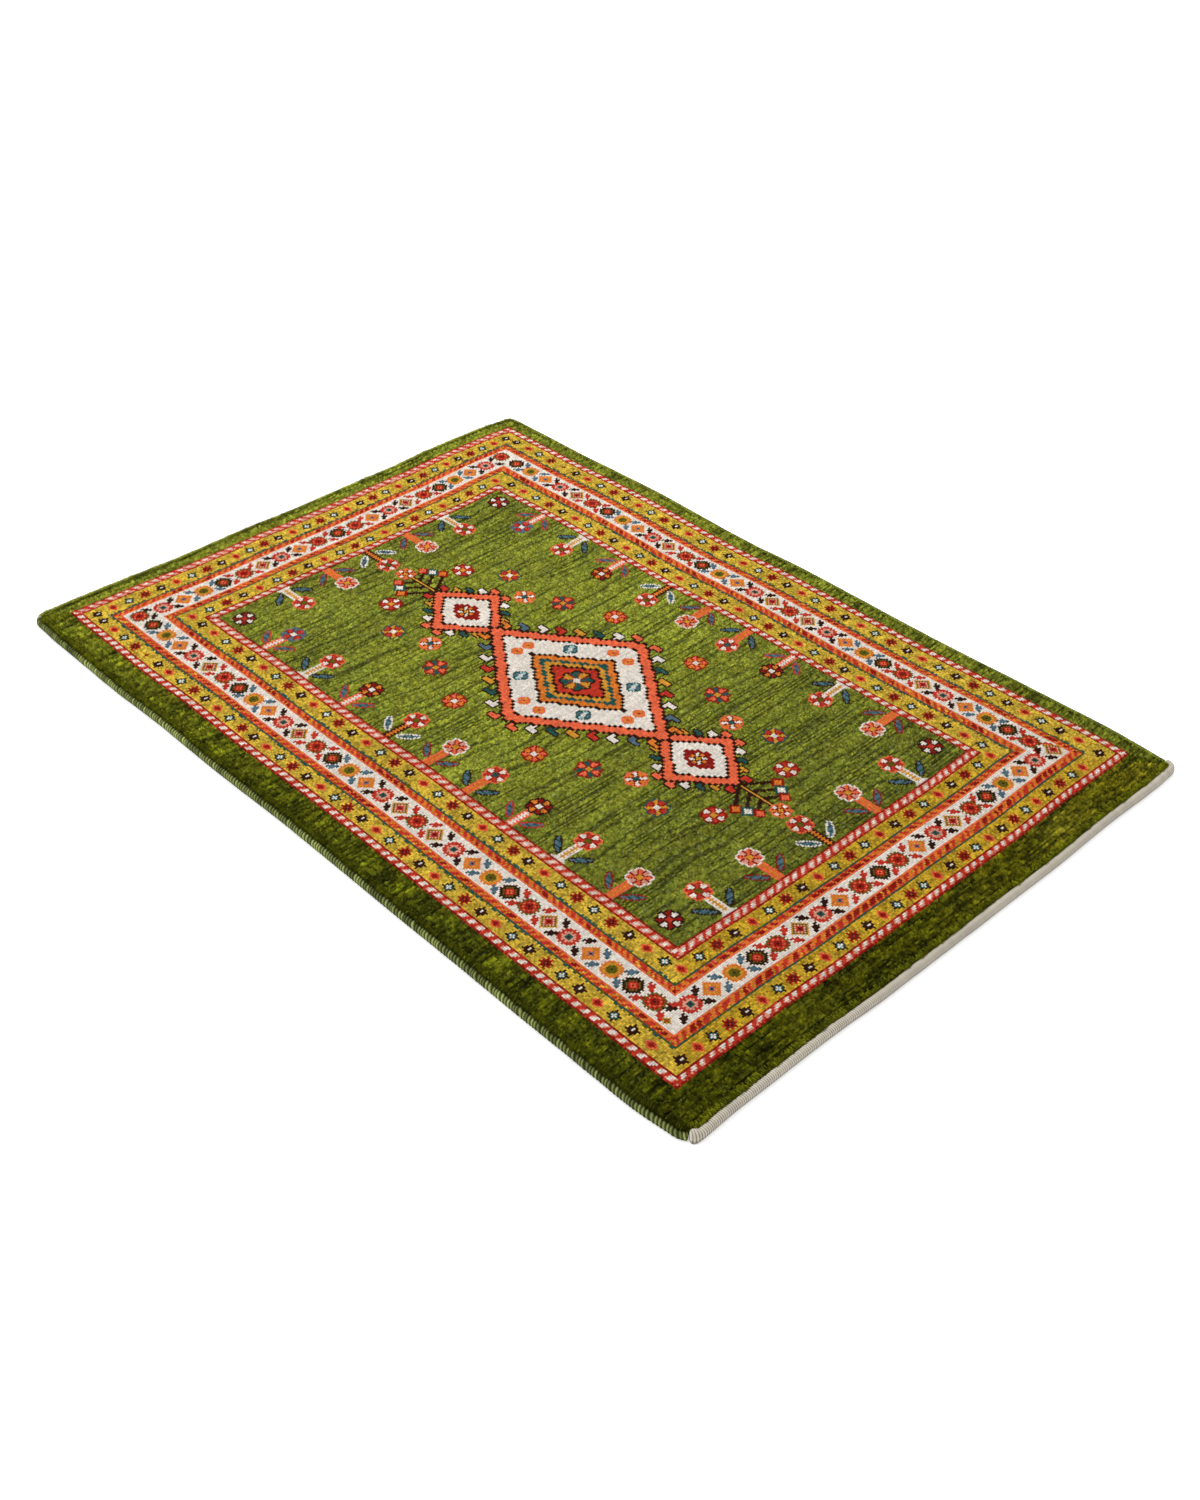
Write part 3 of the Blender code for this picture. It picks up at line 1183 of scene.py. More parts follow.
def palette() -> Array:
    """The linear colour of each dye."""
    return np.array([linear(DYE_COLOURS[dye]) for dye in Dye])


@dataclass(frozen=True)
class YarnFinish:
    """A matt yarn that takes its colour from the piece's own colours, with fine fibres over it."""

    name: str
    roughness: float
    fibre_scale: float  # fibres to the metre
    fibre_depth: float  # how far the fibres stand up
    light_share: float  # what the lightest fibres multiply the colour by
    dark_share: float  # the same of the darkest
    bump: float
    gloss: float = 0.05
    fibre_detail: float = 3.0
    # the noise's values at the darkest and at the lightest fibres
    fibre_range: Pair = (0.3, 0.7)

    def material(self) -> bpy.types.Material:
        """Build the material: fibre noise multiplies the colour and raises the bump.

        Returns:
            The material, which reads the colour attribute and Object coordinates.
        """
        made = bpy.data.materials.new(self.name)
        made.use_nodes = True
        nodes, links = made.node_tree.nodes, made.node_tree.links
        shader = nodes["Principled BSDF"]
        colour = nodes.new("ShaderNodeVertexColor")
        colour.layer_name = YARN_ATTRIBUTE
        place = nodes.new("ShaderNodeTexCoord")
        noise = nodes.new("ShaderNodeTexNoise")
        share = nodes.new("ShaderNodeMapRange")
        mixed = nodes.new("ShaderNodeVectorMath")
        mixed.operation = "SCALE"
        bump = nodes.new("ShaderNodeBump")
        for node, socket, value in (
            (shader, "Roughness", self.roughness),
            (shader, "Specular IOR Level", self.gloss),
            (noise, "Scale", self.fibre_scale),
            (noise, "Detail", self.fibre_detail),
            (share, "From Min", self.fibre_range[0]),
            (share, "From Max", self.fibre_range[1]),
            (share, "To Min", self.dark_share),
            (share, "To Max", self.light_share),
            (bump, "Strength", self.bump),
            (bump, "Distance", self.fibre_depth),
        ):
            node.inputs[socket].default_value = value
        links.new(place.outputs["Object"], noise.inputs["Vector"])
        links.new(noise.outputs["Fac"], share.inputs["Value"])
        links.new(colour.outputs["Color"], mixed.inputs[0])
        links.new(share.outputs["Result"], mixed.inputs["Scale"])
        links.new(mixed.outputs["Vector"], shader.inputs["Base Color"])
        links.new(noise.outputs["Fac"], bump.inputs["Height"])
        links.new(bump.outputs["Normal"], shader.inputs["Normal"])
        return made


PILE_WOOL = YarnFinish("pile_wool", 0.95, 900.0, 0.4 * MM, 1.25, 0.75, 0.6)
BACK_WOOL = YarnFinish("back_wool", 0.95, 1400.0, 0.2 * MM, 1.08, 0.9, 0.3)
CORD_WOOL = YarnFinish("selvedge_wool", 0.9, 1300.0, 0.25 * MM, 1.12, 0.86, 0.4)
BINDING_COTTON = YarnFinish("binding_cotton", 0.85, 1500.0, 0.15 * MM, 1.05, 0.93, 0.4)


# -------------------- meshes


def grid(high: int, wide: int) -> Arrays:
    """Number the vertices of a grid of cells.

    Args:
        high: rows of cells.
        wide: columns of cells.

    Returns:
        The vertex numbers by row and column, and those round the rim, the near side first.
    """
    index = np.arange((wide + 1) * (high + 1)).reshape(high + 1, wide + 1)
    ring = np.concatenate([index[0, :-1], index[:-1, -1], index[-1, :0:-1], index[:0:-1, 0]])
    return index, ring


# The bake map of a slab: its grid above, bands of narrow faces below it, and a disc in a corner
MAP_SCALE, MAP_START = (0.98, 0.93), (0.01, 0.06)


def band_map(count: int, ahead: tuple[int, ...], levels: tuple[float, ...]) -> Array:
    """Lay a closed band of faces out as one strip of the bake map.

    Args:
        count: of faces.
        ahead: for each corner of a face, whether it is at the face's far end.
        levels: how high on the map each corner is.

    Returns:
        The map's place of each corner.
    """
    u = (np.arange(count) / count)[:, None] + np.array(ahead) / count
    u = u * MAP_SCALE[0] + MAP_START[0]
    return np.stack([u, np.tile(levels, (count, 1))], 2).reshape(-1, 2)


def disc_map(share: Array, radius: float, middle: Pair) -> Array:
    """The bake map's places of a flat end's corners, at shares of a turn round a circle."""
    angle = 2 * math.pi * share
    return np.stack([np.cos(angle), np.sin(angle)], 1) * radius + middle


@dataclass
class Surface:
    """The numbers of one mesh."""

    points: Array
    corners: Array  # vertices of all faces, one after the other
    sizes: Array
    colours: Array
    flat_map: Array

    def piece(self, name: str, material: bpy.types.Material) -> bpy.types.Object:
        """Make the object, smooth shaded, and log its size.

        Args:
            name: of the object and its mesh.
            material: of all faces.

        Returns:
            The object, linked to the scene.
        """
        mesh = bpy.data.meshes.new(name)
        mesh.vertices.add(len(self.points))
        mesh.vertices.foreach_set("co", self.points.astype(np.float32).ravel())
        mesh.loops.add(len(self.corners))
        mesh.loops.foreach_set("vertex_index", self.corners.astype(np.int32))
        mesh.polygons.add(len(self.sizes))
        starts = np.concatenate([[0], np.cumsum(self.sizes)[:-1]])
        mesh.polygons.foreach_set("loop_start", starts.astype(np.int32))
        mesh.update(calc_edges=True)
        colour = mesh.color_attributes.new(YARN_ATTRIBUTE, "FLOAT_COLOR", "CORNER")
        rgba = np.ones((len(self.corners), 4), np.float32)
        rgba[:, :3] = np.clip(self.colours, 0.0, 1.0)
        colour.data.foreach_set("color", rgba.ravel())
        layer = mesh.uv_layers.new(name=BAKE_MAP)
        layer.data.foreach_set("uv", self.flat_map.astype(np.float32).ravel())
        mesh.materials.append(material)
        mesh.shade_smooth()
        made = bpy.data.objects.new(name, mesh)
        bpy.context.scene.collection.objects.link(made)
        triangles = int((self.sizes - 2).sum())
        log.info("%s: %d vertices, %d triangles", name, len(self.points), triangles)
        return made


# -------------------- the pile


@dataclass(frozen=True)
class TuftStyle:
    """How the pile of one zone of the rug stands, with lengths in metres."""

    depth: float  # from a tuft's tip down to the gap beside it
    lean_x: float  # how far a tip leans out of its knot across the rug
    lean_y: float  # the same along the rug
    stray: float  # how far a tip strays from there
    rise: float  # how much the tips' heights differ
    lock_width: float
    lock_length: float
    gather: float  # share by which the tips of a lock draw together
    gap_shade: float  # painted shade in the gaps between tufts: how light the wool is there, next to the tips


FIELD_PILE = TuftStyle(
    2.0 * MM, -0.2 * MM, -0.5 * MM, 0.5 * MM, 0.6 * MM, 4.6, 1.5, gather=0.20, gap_shade=0.42
)
BORDER_PILE = TuftStyle(
    1.6 * MM, -0.2 * MM, -0.4 * MM, 0.5 * MM, 0.5 * MM, 3.0, 2.0, gather=0.12, gap_shade=0.60
)
GUARD_PILE = TuftStyle(
    3.2 * MM, -0.9 * MM, -0.9 * MM, 0.9 * MM, 1.3 * MM, 3.4, 1.9, gather=0.30, gap_shade=0.55
)


@dataclass(frozen=True)
class TuftForm:
    """What the tufts of all zones share."""

    lock_margin: float = 0.15  # how near a lock's centre comes to its cell's side, as a share
    lock_edge: float = 2.2  # how fast a lock rises from its rim
    lock_level: float = 0.6  # how far inside its lock a tip neither rises nor sinks
    lock_rise: float = 0.8  # how much the locks' heights differ, as a share of the style's rise
    line_depth: float = 0.6 * MM
    # width and length of the cloud by which the lines wander
    line_cell: Pair = (70 * MM, 60 * MM)
    line_wander: float = 5.0
    line_share: float = 0.6  # share of the rows that have a line
    line_run: float = 55 * MM  # length of the cloud that breaks them into runs
    line_edge: float = 6.0  # how fast a run grows from its end
    overhang: float = 2.4 * MM  # how far the outermost tips lean out over the rim
    # least share of the overhang, and how much more single tips have
    ragged: Pair = (0.4, 1.2)
    corner_stray: float = 0.2  # how far the low corners stray, as a share of a knot
    corner_rise: float = 0.3  # how much the gaps' depths differ, as a share of the depth


class Wool(IntEnum):
    """The kinds of wool: the first three are green, and the first two are the guard's."""

    LONG = 0
    EDGE = 1
    FIELD = 2
    YELLOW = 3
    IVORY = 4
    MOTIF = 5


@dataclass(frozen=True)
class WoolLook:
    """How one kind of wool stands, and how its shade varies."""

    pile: TuftStyle
    mottle: float
    crevice: float  # painted shade in the crevices between locks: how dark the sides of a lock are
    speck: float
    lots: float
    lines: float  # how dark the lines along the rows are
    clump: float = 0.10
    opening: float = 0.0  # how much the blotches differ in which the pile falls open
    level: float = 1.0  # its shade next to its dye
    sheen_fleck: float = 0.08  # painted sheen: how much the pale ends of single fibres add where they catch the light
    sheen_fleck_colour: Triple = (0.78, 0.82, 0.66)  # the painted sheen's colour, as sRGB shares


# Painted sheen on the pale fibre ends of the long wool
LONG_SHEEN_FLECK = (0.72, 0.78, 0.30)
WOOL_LOOKS = {
    Wool.LONG: WoolLook(GUARD_PILE, 1.0, 0.50, 0.95, 0.64, 0.62, 0.1, 1.8, 0.80, 0.32, LONG_SHEEN_FLECK),
    Wool.EDGE: WoolLook(GUARD_PILE, 0.7, 0.50, 0.95, 0.64, 0.62, 0.1, 0.2, 0.88, 0.32, LONG_SHEEN_FLECK),
    Wool.FIELD: WoolLook(FIELD_PILE, 0.55, 0.28, 0.98, 0.64, 0.62, sheen_fleck=0.30),
    Wool.YELLOW: WoolLook(BORDER_PILE, 0.15, 0.10, 0.90, 0.20, 0.12, clump=0.45),
    Wool.IVORY: WoolLook(BORDER_PILE, 0.15, 0.10, 0.14, 0.12, 0.12),
    Wool.MOTIF: WoolLook(BORDER_PILE, 0.15, 0.10, 0.30, 0.12, 0.12),
}


@dataclass(frozen=True)
class WoolVariation:
    """How the shade and the tint of all kinds of wool vary, with lengths in metres."""

    crevice_gain: float = 0.35  # how much lighter a lock's middle is where its sides are dark with painted shade
    strand: float = 2.4  # width of a strand of the guard's wool, in knots
    strand_shift: float = 3.0  # how far the strands are shifted from row to row, in knots
    long_contrast: float = 0.7  # share of the strands' differences that the long wool has
    # width and length of the two clouds of yarn lots
    lot_cells: tuple[Pair, ...] = ((260 * MM, 38 * MM), (60 * MM, 7 * MM))
    clump_cell: Pair = (9 * MM, 6 * MM)
    warm_cell: Pair = (30 * MM, 8 * MM)  # width and length of a warm or cool patch
    warm_patch: float = 0.09
    warm_knot: float = 0.12
    plain_warmth: float = 0.3  # share of that warmth in wool that isn't green
    # warmth of the guard's near side in the middle, and how much more at its right
    near_warmth: Pair = (0.12, 0.1)
    sheen_blue: float = 1.6  # power of the painted light by which the long wool's blue rises and falls, as a painted sheen
    sheen_fleck_share: float = 0.7  # share of the knots that have no painted sheen on their fibre ends
    sheen_fleck_gain: float = 1.5  # how fast the rest grow paler with painted sheen
    # painted shade of a lock's gaps at its rim, and how much lighter they are inside
    gap_range: Pair = (0.75, 0.25)
    rim_gap: float = 0.9  # painted shade of the gaps at the rug's rim


# Painted light and shade of the greens, from the light and the lie of the pile, with their uneven
# tone, at shares of the rug's length or width. The field and the left stripe are read from near to
# far, and the near stripe from left to right.
FIELD_SHADE = Table(
    (0.10, 0.22, 0.30, 0.42, 0.50, 0.57, 0.66, 1.00),
    (0.80, 0.90, 1.04, 1.08, 1.44, 1.28, 1.08, 1.06),
)
LEFT_SHADE = Table(
    (0.00, 0.12, 0.30, 0.50, 0.68, 0.80, 1.00),
    (0.60, 1.10, 1.16, 1.16, 1.30, 1.50, 1.60),
)
NEAR_SHADE = Table(
    (0.00, 0.14, 0.26, 0.36, 0.46, 0.55, 0.66, 0.76, 0.86, 1.00),
    (0.50, 0.85, 1.14, 0.74, 0.84, 1.22, 1.00, 1.84, 1.26, 1.75),
)
OTHER_SHADE = Table((0.00, 0.15, 0.50, 1.00), (0.90, 1.06, 1.20, 1.18))
# Painted shade where the left side's pile bends down towards its rim: distances in from the side,
# and shades
LEFT_RIM_SHADE = Table((0.0, 3.0 * MM, 7.0 * MM, 12.0 * MM), (0.46, 0.56, 0.88, 1.04))
# The yellow of the left, right and far sides is paler: shares of the near side's yellow
PALE_YELLOW = np.array([1.10, 1.18, 1.80])
# Width and length of the blotches in which the guard's wool falls open
WIDE_BLOTCH, SMALL_BLOTCH = (24 * MM, 15 * MM), (9 * MM, 5 * MM)


def blotches(x: Array, y: Array) -> Array:
    """Where the long wool of the guard stripe falls open, from -0.5 to 0.5: two clouds."""
    return cloud(x, y, *WIDE_BLOTCH, 44.0) * 0.4 + cloud(x, y, *SMALL_BLOTCH, 45.0) * 0.6 - 0.5


class PileSurface:
    """All the tufts of the rug: four shared low corners and one tip for each knot."""

    FORM = TuftForm()
    VARIATION = WoolVariation()
    # painted light: the pile's walls are lighter than the guard's dye, against the shade that falls
    # on them
    WALL_PAINTED_LIGHT = 1.1

    def __init__(self, plan: RugPlan, chart_of_rug: RugChart) -> None:
        """Place every corner and tip, and shade every knot.

        Args:
            plan: where the knots lie.
            chart_of_rug: the dye of each knot.
        """
        self.plan = plan
        self.chart = chart_of_rug
        rows, columns = chart_of_rug.rows, chart_of_rug.columns
        self.pitch_x = 2 * plan.sizes.half_width / columns
        self.pitch_y = 2 * plan.sizes.half_length / rows
        self.j, self.i = np.mgrid[0:rows, 0:columns] + 0.5
        self.x, self.y = self._rectangle(self.i, self.j)
        self.inset = plan.inset(self.x, self.y)
        self.wool = self._wool()
        self.way_x, self.way_y, self.in_lock, self.own_lock = self._locks()
        self.row_line = self._row_lines()
        self.corner = self._corners()
        self.tip = self._tips()
        self.painted_light = self._painted_light()
        self.tip_colour, self.gap_colour = self._colours()

    def _rectangle(self, i: Array, j: Array) -> Arrays:
        """Knot counts as places in the true rectangle."""
        sizes = self.plan.sizes
        return i * self.pitch_x - sizes.half_width, j * self.pitch_y - sizes.half_length

    def _wool(self) -> Array:
        """Sort the knots by kind of wool.

        Returns:
            The kind of each knot.
        """
        dye = self.chart.dye
        wool = np.full(dye.shape, int(Wool.MOTIF))
        wool[dye == Dye.IVORY] = Wool.IVORY
        wool[dye == Dye.YELLOW] = Wool.YELLOW
        wool[dye == Dye.FIELD_GREEN] = Wool.FIELD
        wool[(dye == Dye.FIELD_GREEN) & ~self.chart.guard_block.mask(dye.shape)] = Wool.EDGE
        wool[dye == Dye.GUARD_GREEN] = Wool.LONG
        return wool

    def _look(self, name: str) -> Array:
        """One number of each knot's wool."""
        return np.array([getattr(WOOL_LOOKS[wool], name) for wool in Wool])[self.wool]

    def _style(self, name: str) -> Array:
        """One number of how each knot's tuft stands."""
        return np.array([getattr(WOOL_LOOKS[wool].pile, name) for wool in Wool])[self.wool]

    def _corners(self) -> Array:
        """Low corners: on the shorn surface less the depth of the gaps round them.

        Returns:
            The place of each corner, by row and column.
        """
        j, i = np.mgrid[0 : self.chart.rows + 1, 0 : self.chart.columns + 1].astype(float)
        x, y = self._rectangle(i, j)
        inset = self.plan.inset(x, y)
        padded = np.pad(self._style("depth"), 1, mode="edge")
        around = (padded[:-1, :-1] + padded[1:, :-1] + padded[:-1, 1:] + padded[1:, 1:]) / 4
        depth = around * np.clip(inset / (2 * self.pitch_x), 0.5, 1.0)
        stray = self.FORM.corner_stray * self.pitch_x * np.clip(inset / self.pitch_x, 0.0, 1.0)
        x = x + (scatter(i, j, 3.0) - 0.5) * stray
        y = y + (scatter(i, j, 5.0) - 0.5) * stray
        z = self.plan.height(inset) - depth
        z = z + (scatter(i, j, 7.0) - 0.5) * self.FORM.corner_rise * depth
        return np.stack([*self.plan.place(*self.plan.rounded(x, y)), z], axis=-1)

    def _locks(self) -> tuple[Array, Array, Array, Array]:
        """Gather the knots into locks: each belongs to the nearest of scattered centres.

        Returns:
            The way to the centre across and along, how far inside the lock the knot is, from 0 to
            1, and the lock's own number from 0 to 1.
        """
        wide, long = self._style("lock_width"), self._style("lock_length")
        u, v = self.i / wide, self.j / long
        seed = wide * 3.1
        margin = self.FORM.lock_margin
        best = second = np.full(u.shape, np.inf)
        way_u = way_v = own = np.zeros_like(u)
        for step_v in (-1, 0, 1):
            for step_u in (-1, 0, 1):
                cell_u, cell_v = np.floor(u) + step_u, np.floor(v) + step_v
                spot_u = scatter(cell_u, cell_v, seed + 1.0)
                spot_v = scatter(cell_u, cell_v, seed + 2.0)
                to_u = cell_u + margin + (1 - 2 * margin) * spot_u - u
                to_v = cell_v + margin + (1 - 2 * margin) * spot_v - v
                distance = np.hypot(to_u, to_v)
                closer = distance < best
                second = np.where(closer, best, np.minimum(second, distance))
                best = np.where(closer, distance, best)
                way_u, way_v = np.where(closer, to_u, way_u), np.where(closer, to_v, way_v)
                own = np.where(closer, scatter(cell_u, cell_v, seed + 3.0), own)
        inside = np.clip((second - best) * self.FORM.lock_edge, 0.0, 1.0)
        return way_u * wide * self.pitch_x, way_v * long * self.pitch_y, inside, own

    def _row_lines(self) -> Array:
        """Dark lines along rows that wander with a cloud, broken into runs by a second one.

        Returns:
            A number from 0 to 1 for each knot, 1 in the middle of a line.
        """
        form = self.FORM
        wander = (cloud(self.x, self.y, *form.line_cell, 2.0) - 0.5) * form.line_wander
        row = np.floor(self.j + wander)
        picked = chance(row, 23.0) < form.line_share
        runs = cloud(self.x, row, form.line_run, 1.0, 29.0)
        return np.where(picked, np.clip((runs - 0.5) * form.line_edge, 0.0, 1.0), 0.0)

    def _tips(self) -> Array:
        """Tips: leaning, drawn towards their lock's centre, strayed, and bent over the rim.

        Returns:
            The place of each knot's tip.
        """
        i, j, x, y, form = self.i, self.j, self.x, self.y, self.FORM
        stray, rise, gather = self._style("stray"), self._style("rise"), self._style("gather")
        over = np.clip(1.5 - self.inset / self.pitch_x, 0.0, 1.0) * form.overhang
        over = over * (form.ragged[0] + form.ragged[1] * scatter(i, j, 17.0))
        sizes, nearest = self.plan.sizes, self.inset + 1e-9
        out_x = np.where(sizes.half_width - np.abs(x) <= nearest, np.sign(x), 0.0)
        out_y = np.where(sizes.half_length - np.abs(y) <= nearest, np.sign(y), 0.0)
        stray_x, stray_y = ((scatter(i, j, seed) - 0.5) * 2 * stray for seed in (11.0, 13.0))
        lean_x = self._style("lean_x") + gather * self.way_x + stray_x
        lean_y = self._style("lean_y") + gather * self.way_y + stray_y
        flat_x, flat_y = self.plan.place(*self.plan.rounded(x, y))
        rise = rise * (
            (self.in_lock - form.lock_level)
            + (scatter(i, j, 19.0) - 0.5)
            + (self.own_lock - 0.5) * form.lock_rise
        )
        z = self.plan.height(self.inset) + rise - self.row_line * form.line_depth
        return np.stack([flat_x + lean_x + out_x * over, flat_y + lean_y + out_y * over, z], -1)

    def _at_near_end(self) -> Array:
        """Whether each knot is nearer to the near end than to the rug's sides."""
        return (self.y < 0) & self.plan.at_end(self.x, self.y)

    def _painted_light(self) -> Array:
        """Painted light and shade of the greens, from the light and the lie of the pile, with their
        uneven tone, zone by zone; the guard's four sides have mitred corners.

        Returns:
            The painted light of each knot, 1 where it isn't green.
        """
        x, y = self.x, self.y
        across, along = self.plan.shares(x, y)
        other = OTHER_SHADE.at(along)
        left = LEFT_SHADE.at(along) * LEFT_RIM_SHADE.at(self.plan.sizes.half_width + x)
        ends = np.where(y < 0, NEAR_SHADE.at(across), other)
        guard = np.where(self.plan.at_end(x, y), ends, np.where(x < 0, left, other))
        painted_light = np.where(self.wool <= Wool.EDGE, guard, FIELD_SHADE.at(along))
        return np.where(self.wool <= Wool.FIELD, painted_light, 1.0)

    def _strands(self) -> Array:
        """Fine differences between the tufts; in the guard they run on along strands.

        Returns:
            A number for each knot, 0.5 on average.
        """
        i, j, vary = self.i, self.j, self.VARIATION
        strand = np.floor((i + vary.strand_shift * chance(j, 33.0)) / vary.strand)
        sheaf = np.floor((j + vary.strand_shift * chance(i, 35.0)) / vary.strand)
        fine = scatter(np.where(self.wool <= Wool.EDGE, strand, i), j, 31.0)
        both = (fine + scatter(i, sheaf, 36.0)) * vary.long_contrast + 0.5 - vary.long_contrast
        return np.where(self.wool == Wool.LONG, both, fine)

    def _shade(self) -> Array:
        """How light each knot is: one factor for each way in which the wool varies, with painted
        shade in the crevices and the painted light of the nap among them.

        Returns:
            The shade of each knot next to its dye.
        """
        x, y, vary, crevice = self.x, self.y, self.VARIATION, self._look("crevice")
        wide_lots, small_lots = vary.lot_cells
        lots = cloud(x, y, *wide_lots, 37.0) * 0.5 + cloud(x, y, *small_lots, 41.0) * 0.5
        shade = 1 + (self.own_lock - 0.5) * self._look("mottle")
        # painted shade in the crevices between locks
        shade = shade * (1 - crevice * (1 - self.in_lock) ** 2) * (1 + crevice * vary.crevice_gain)
        shade = shade * (1 + (self._strands() - 0.5) * self._look("speck"))
        shade = shade * (1 + (lots - 0.5) * self._look("lots"))
        shade = shade * (1 - self._look("lines") * self.row_line) * self.painted_light
        shade = shade * (1 + (cloud(x, y, *vary.clump_cell, 43.0) - 0.5) * self._look("clump"))
        return shade * (1 + blotches(x, y) * self._look("opening")) * self._look("level")

    def _tint(self) -> Array:
        """What each knot's red, green and blue are multiplied by.

        Warm wool has more red and less blue, and the long wool's blue follows its painted light, as
        a painted sheen.

        Returns:
            The three factors of each knot.
        """
        vary = self.VARIATION
        warm = (scatter(self.i, self.j, 47.0) - 0.5) * vary.warm_knot
        warm = warm + (cloud(self.x, self.y, *vary.warm_cell, 53.0) - 0.5) * vary.warm_patch
        warm = np.where(self.wool <= Wool.FIELD, warm, warm * vary.plain_warmth)
        near_warmth = vary.near_warmth[1] * self.x / self.plan.sizes.half_width
        near_warmth = vary.near_warmth[0] + near_warmth
        warm = warm + np.where((self.wool <= Wool.EDGE) & self._at_near_end(), near_warmth, 0.0)
        sheen_blue = np.where(self.wool == Wool.LONG, self.painted_light**vary.sheen_blue, 1.0)
        tint = np.stack([1 + warm, np.ones_like(warm), (1 - warm) * sheen_blue], axis=-1)
        pale = (self.wool == Wool.YELLOW) & ~self._at_near_end()
        return np.where(pale[..., None], tint * PALE_YELLOW, tint)

    def _colours(self) -> Arrays:
        """Dye the knots, with painted shade in the gaps and painted sheen in the flecks.

        Returns:
            The linear colour of each knot's tip, and of the gaps beside it with their painted
            shade.
        """
        vary = self.VARIATION
        # painted sheen: pale flecks on single fibre ends
        sheen_fleck = np.clip(scatter(self.i, self.j, 59.0) - vary.sheen_fleck_share, 0.0, 1.0)
        sheen_fleck = sheen_fleck * vary.sheen_fleck_gain * self._look("sheen_fleck")
        tip = palette()[self.chart.dye] * self._tint() * self._shade()[..., None]
        tip = tip + sheen_fleck[..., None] * linear(self._look("sheen_fleck_colour"))
        # painted shade in the gaps between tufts, lighter inside a lock and at the rim
        gap = self._style("gap_shade") * (vary.gap_range[0] + vary.gap_range[1] * self.in_lock)
        gap = np.where(self.inset < self.pitch_x, vary.rim_gap, gap)
        return tip, tip * gap[..., None]

    def patch(self, block: Block) -> Surface:
        """The closed mesh of a block of knots, down to the foundation.

        Args:
            block: its knots.

        Returns:
            Four triangles for each knot, a wall round them and a flat underside.
        """
        wide, high = block.right - block.left, block.far - block.near
        top = self.corner[block.near : block.far + 1, block.left : block.right + 1].reshape(-1, 3)
        spot = (slice(block.near, block.far), slice(block.left, block.right))
        tips = self.tip[spot].reshape(-1, 3)
        index, ring = grid(high, wide)
        low = top[ring].copy()
        low[:, 2] = self.plan.sizes.foundation
        tip_index = len(top) + np.arange(wide * high).reshape(high, wide)
        low_index = len(top) + len(tips) + np.arange(len(ring))
        around = (index[:-1, :-1], index[:-1, 1:], index[1:, 1:], index[1:, :-1])
        fans = [np.stack([around[k], around[(k + 1) % 4], tip_index], -1) for k in range(4)]
        walls = np.stack([np.roll(ring, -1), ring, low_index, np.roll(low_index, -1)], axis=1)
        # the low corners get the gaps' painted shade, the tips the knots' colour
        gap, tip = self.gap_colour[spot], self.tip_colour[spot]
        knot = np.stack([gap, gap, tip], axis=2)[:, :, None].repeat(4, axis=2).reshape(-1, 3)
        wall_colour = linear(DYE_COLOURS[Dye.GUARD_GREEN]) * self.WALL_PAINTED_LIGHT
        return Surface(
            points=np.vstack([top, tips, low]),
            corners=np.concatenate([np.stack(fans, 2).ravel(), walls.ravel(), low_index[::-1]]),
            sizes=np.repeat([3, 4, len(ring)], [wide * high * 4, len(ring), 1]),
            colours=np.vstack([knot, np.tile(wall_colour, (len(ring) * 5, 1))]),
            flat_map=self._flat_map(wide, high, len(ring)),
        )

    @staticmethod
    def _flat_map(wide: int, high: int, around: int) -> Array:
        """Bake map: the knots' grid, the walls as a strip below it, the underside as a disc.

        Args:
            wide: columns of knots.
            high: rows of knots.
            around: faces of the wall.

        Returns:
            The map's place of each corner.
        """
        j, i = np.mgrid[0:high, 0:wide].astype(float)
        steps = ((0, 0), (1, 0), (1, 1), (0, 1), (0, 0))
        fans = []
        for (step_i, step_j), (next_i, next_j) in zip(steps, steps[1:]):
            triangle = (
                np.stack([i + step_i, j + step_j], -1),
                np.stack([i + next_i, j + next_j], -1),
                np.stack([i + 0.5, j + 0.5], -1),
            )
            fans.append(np.stack(triangle, axis=2))
        knots = np.stack(fans, axis=2).reshape(-1, 2) / (wide, high) * MAP_SCALE + MAP_START
        walls = band_map(around, (1, 0, 0, 1), (0.05, 0.05, 0.03, 0.03))
        share = np.arange(around)[::-1] / around
        return np.vstack([knots, walls, disc_map(share, 0.008, (0.015, 0.015))])


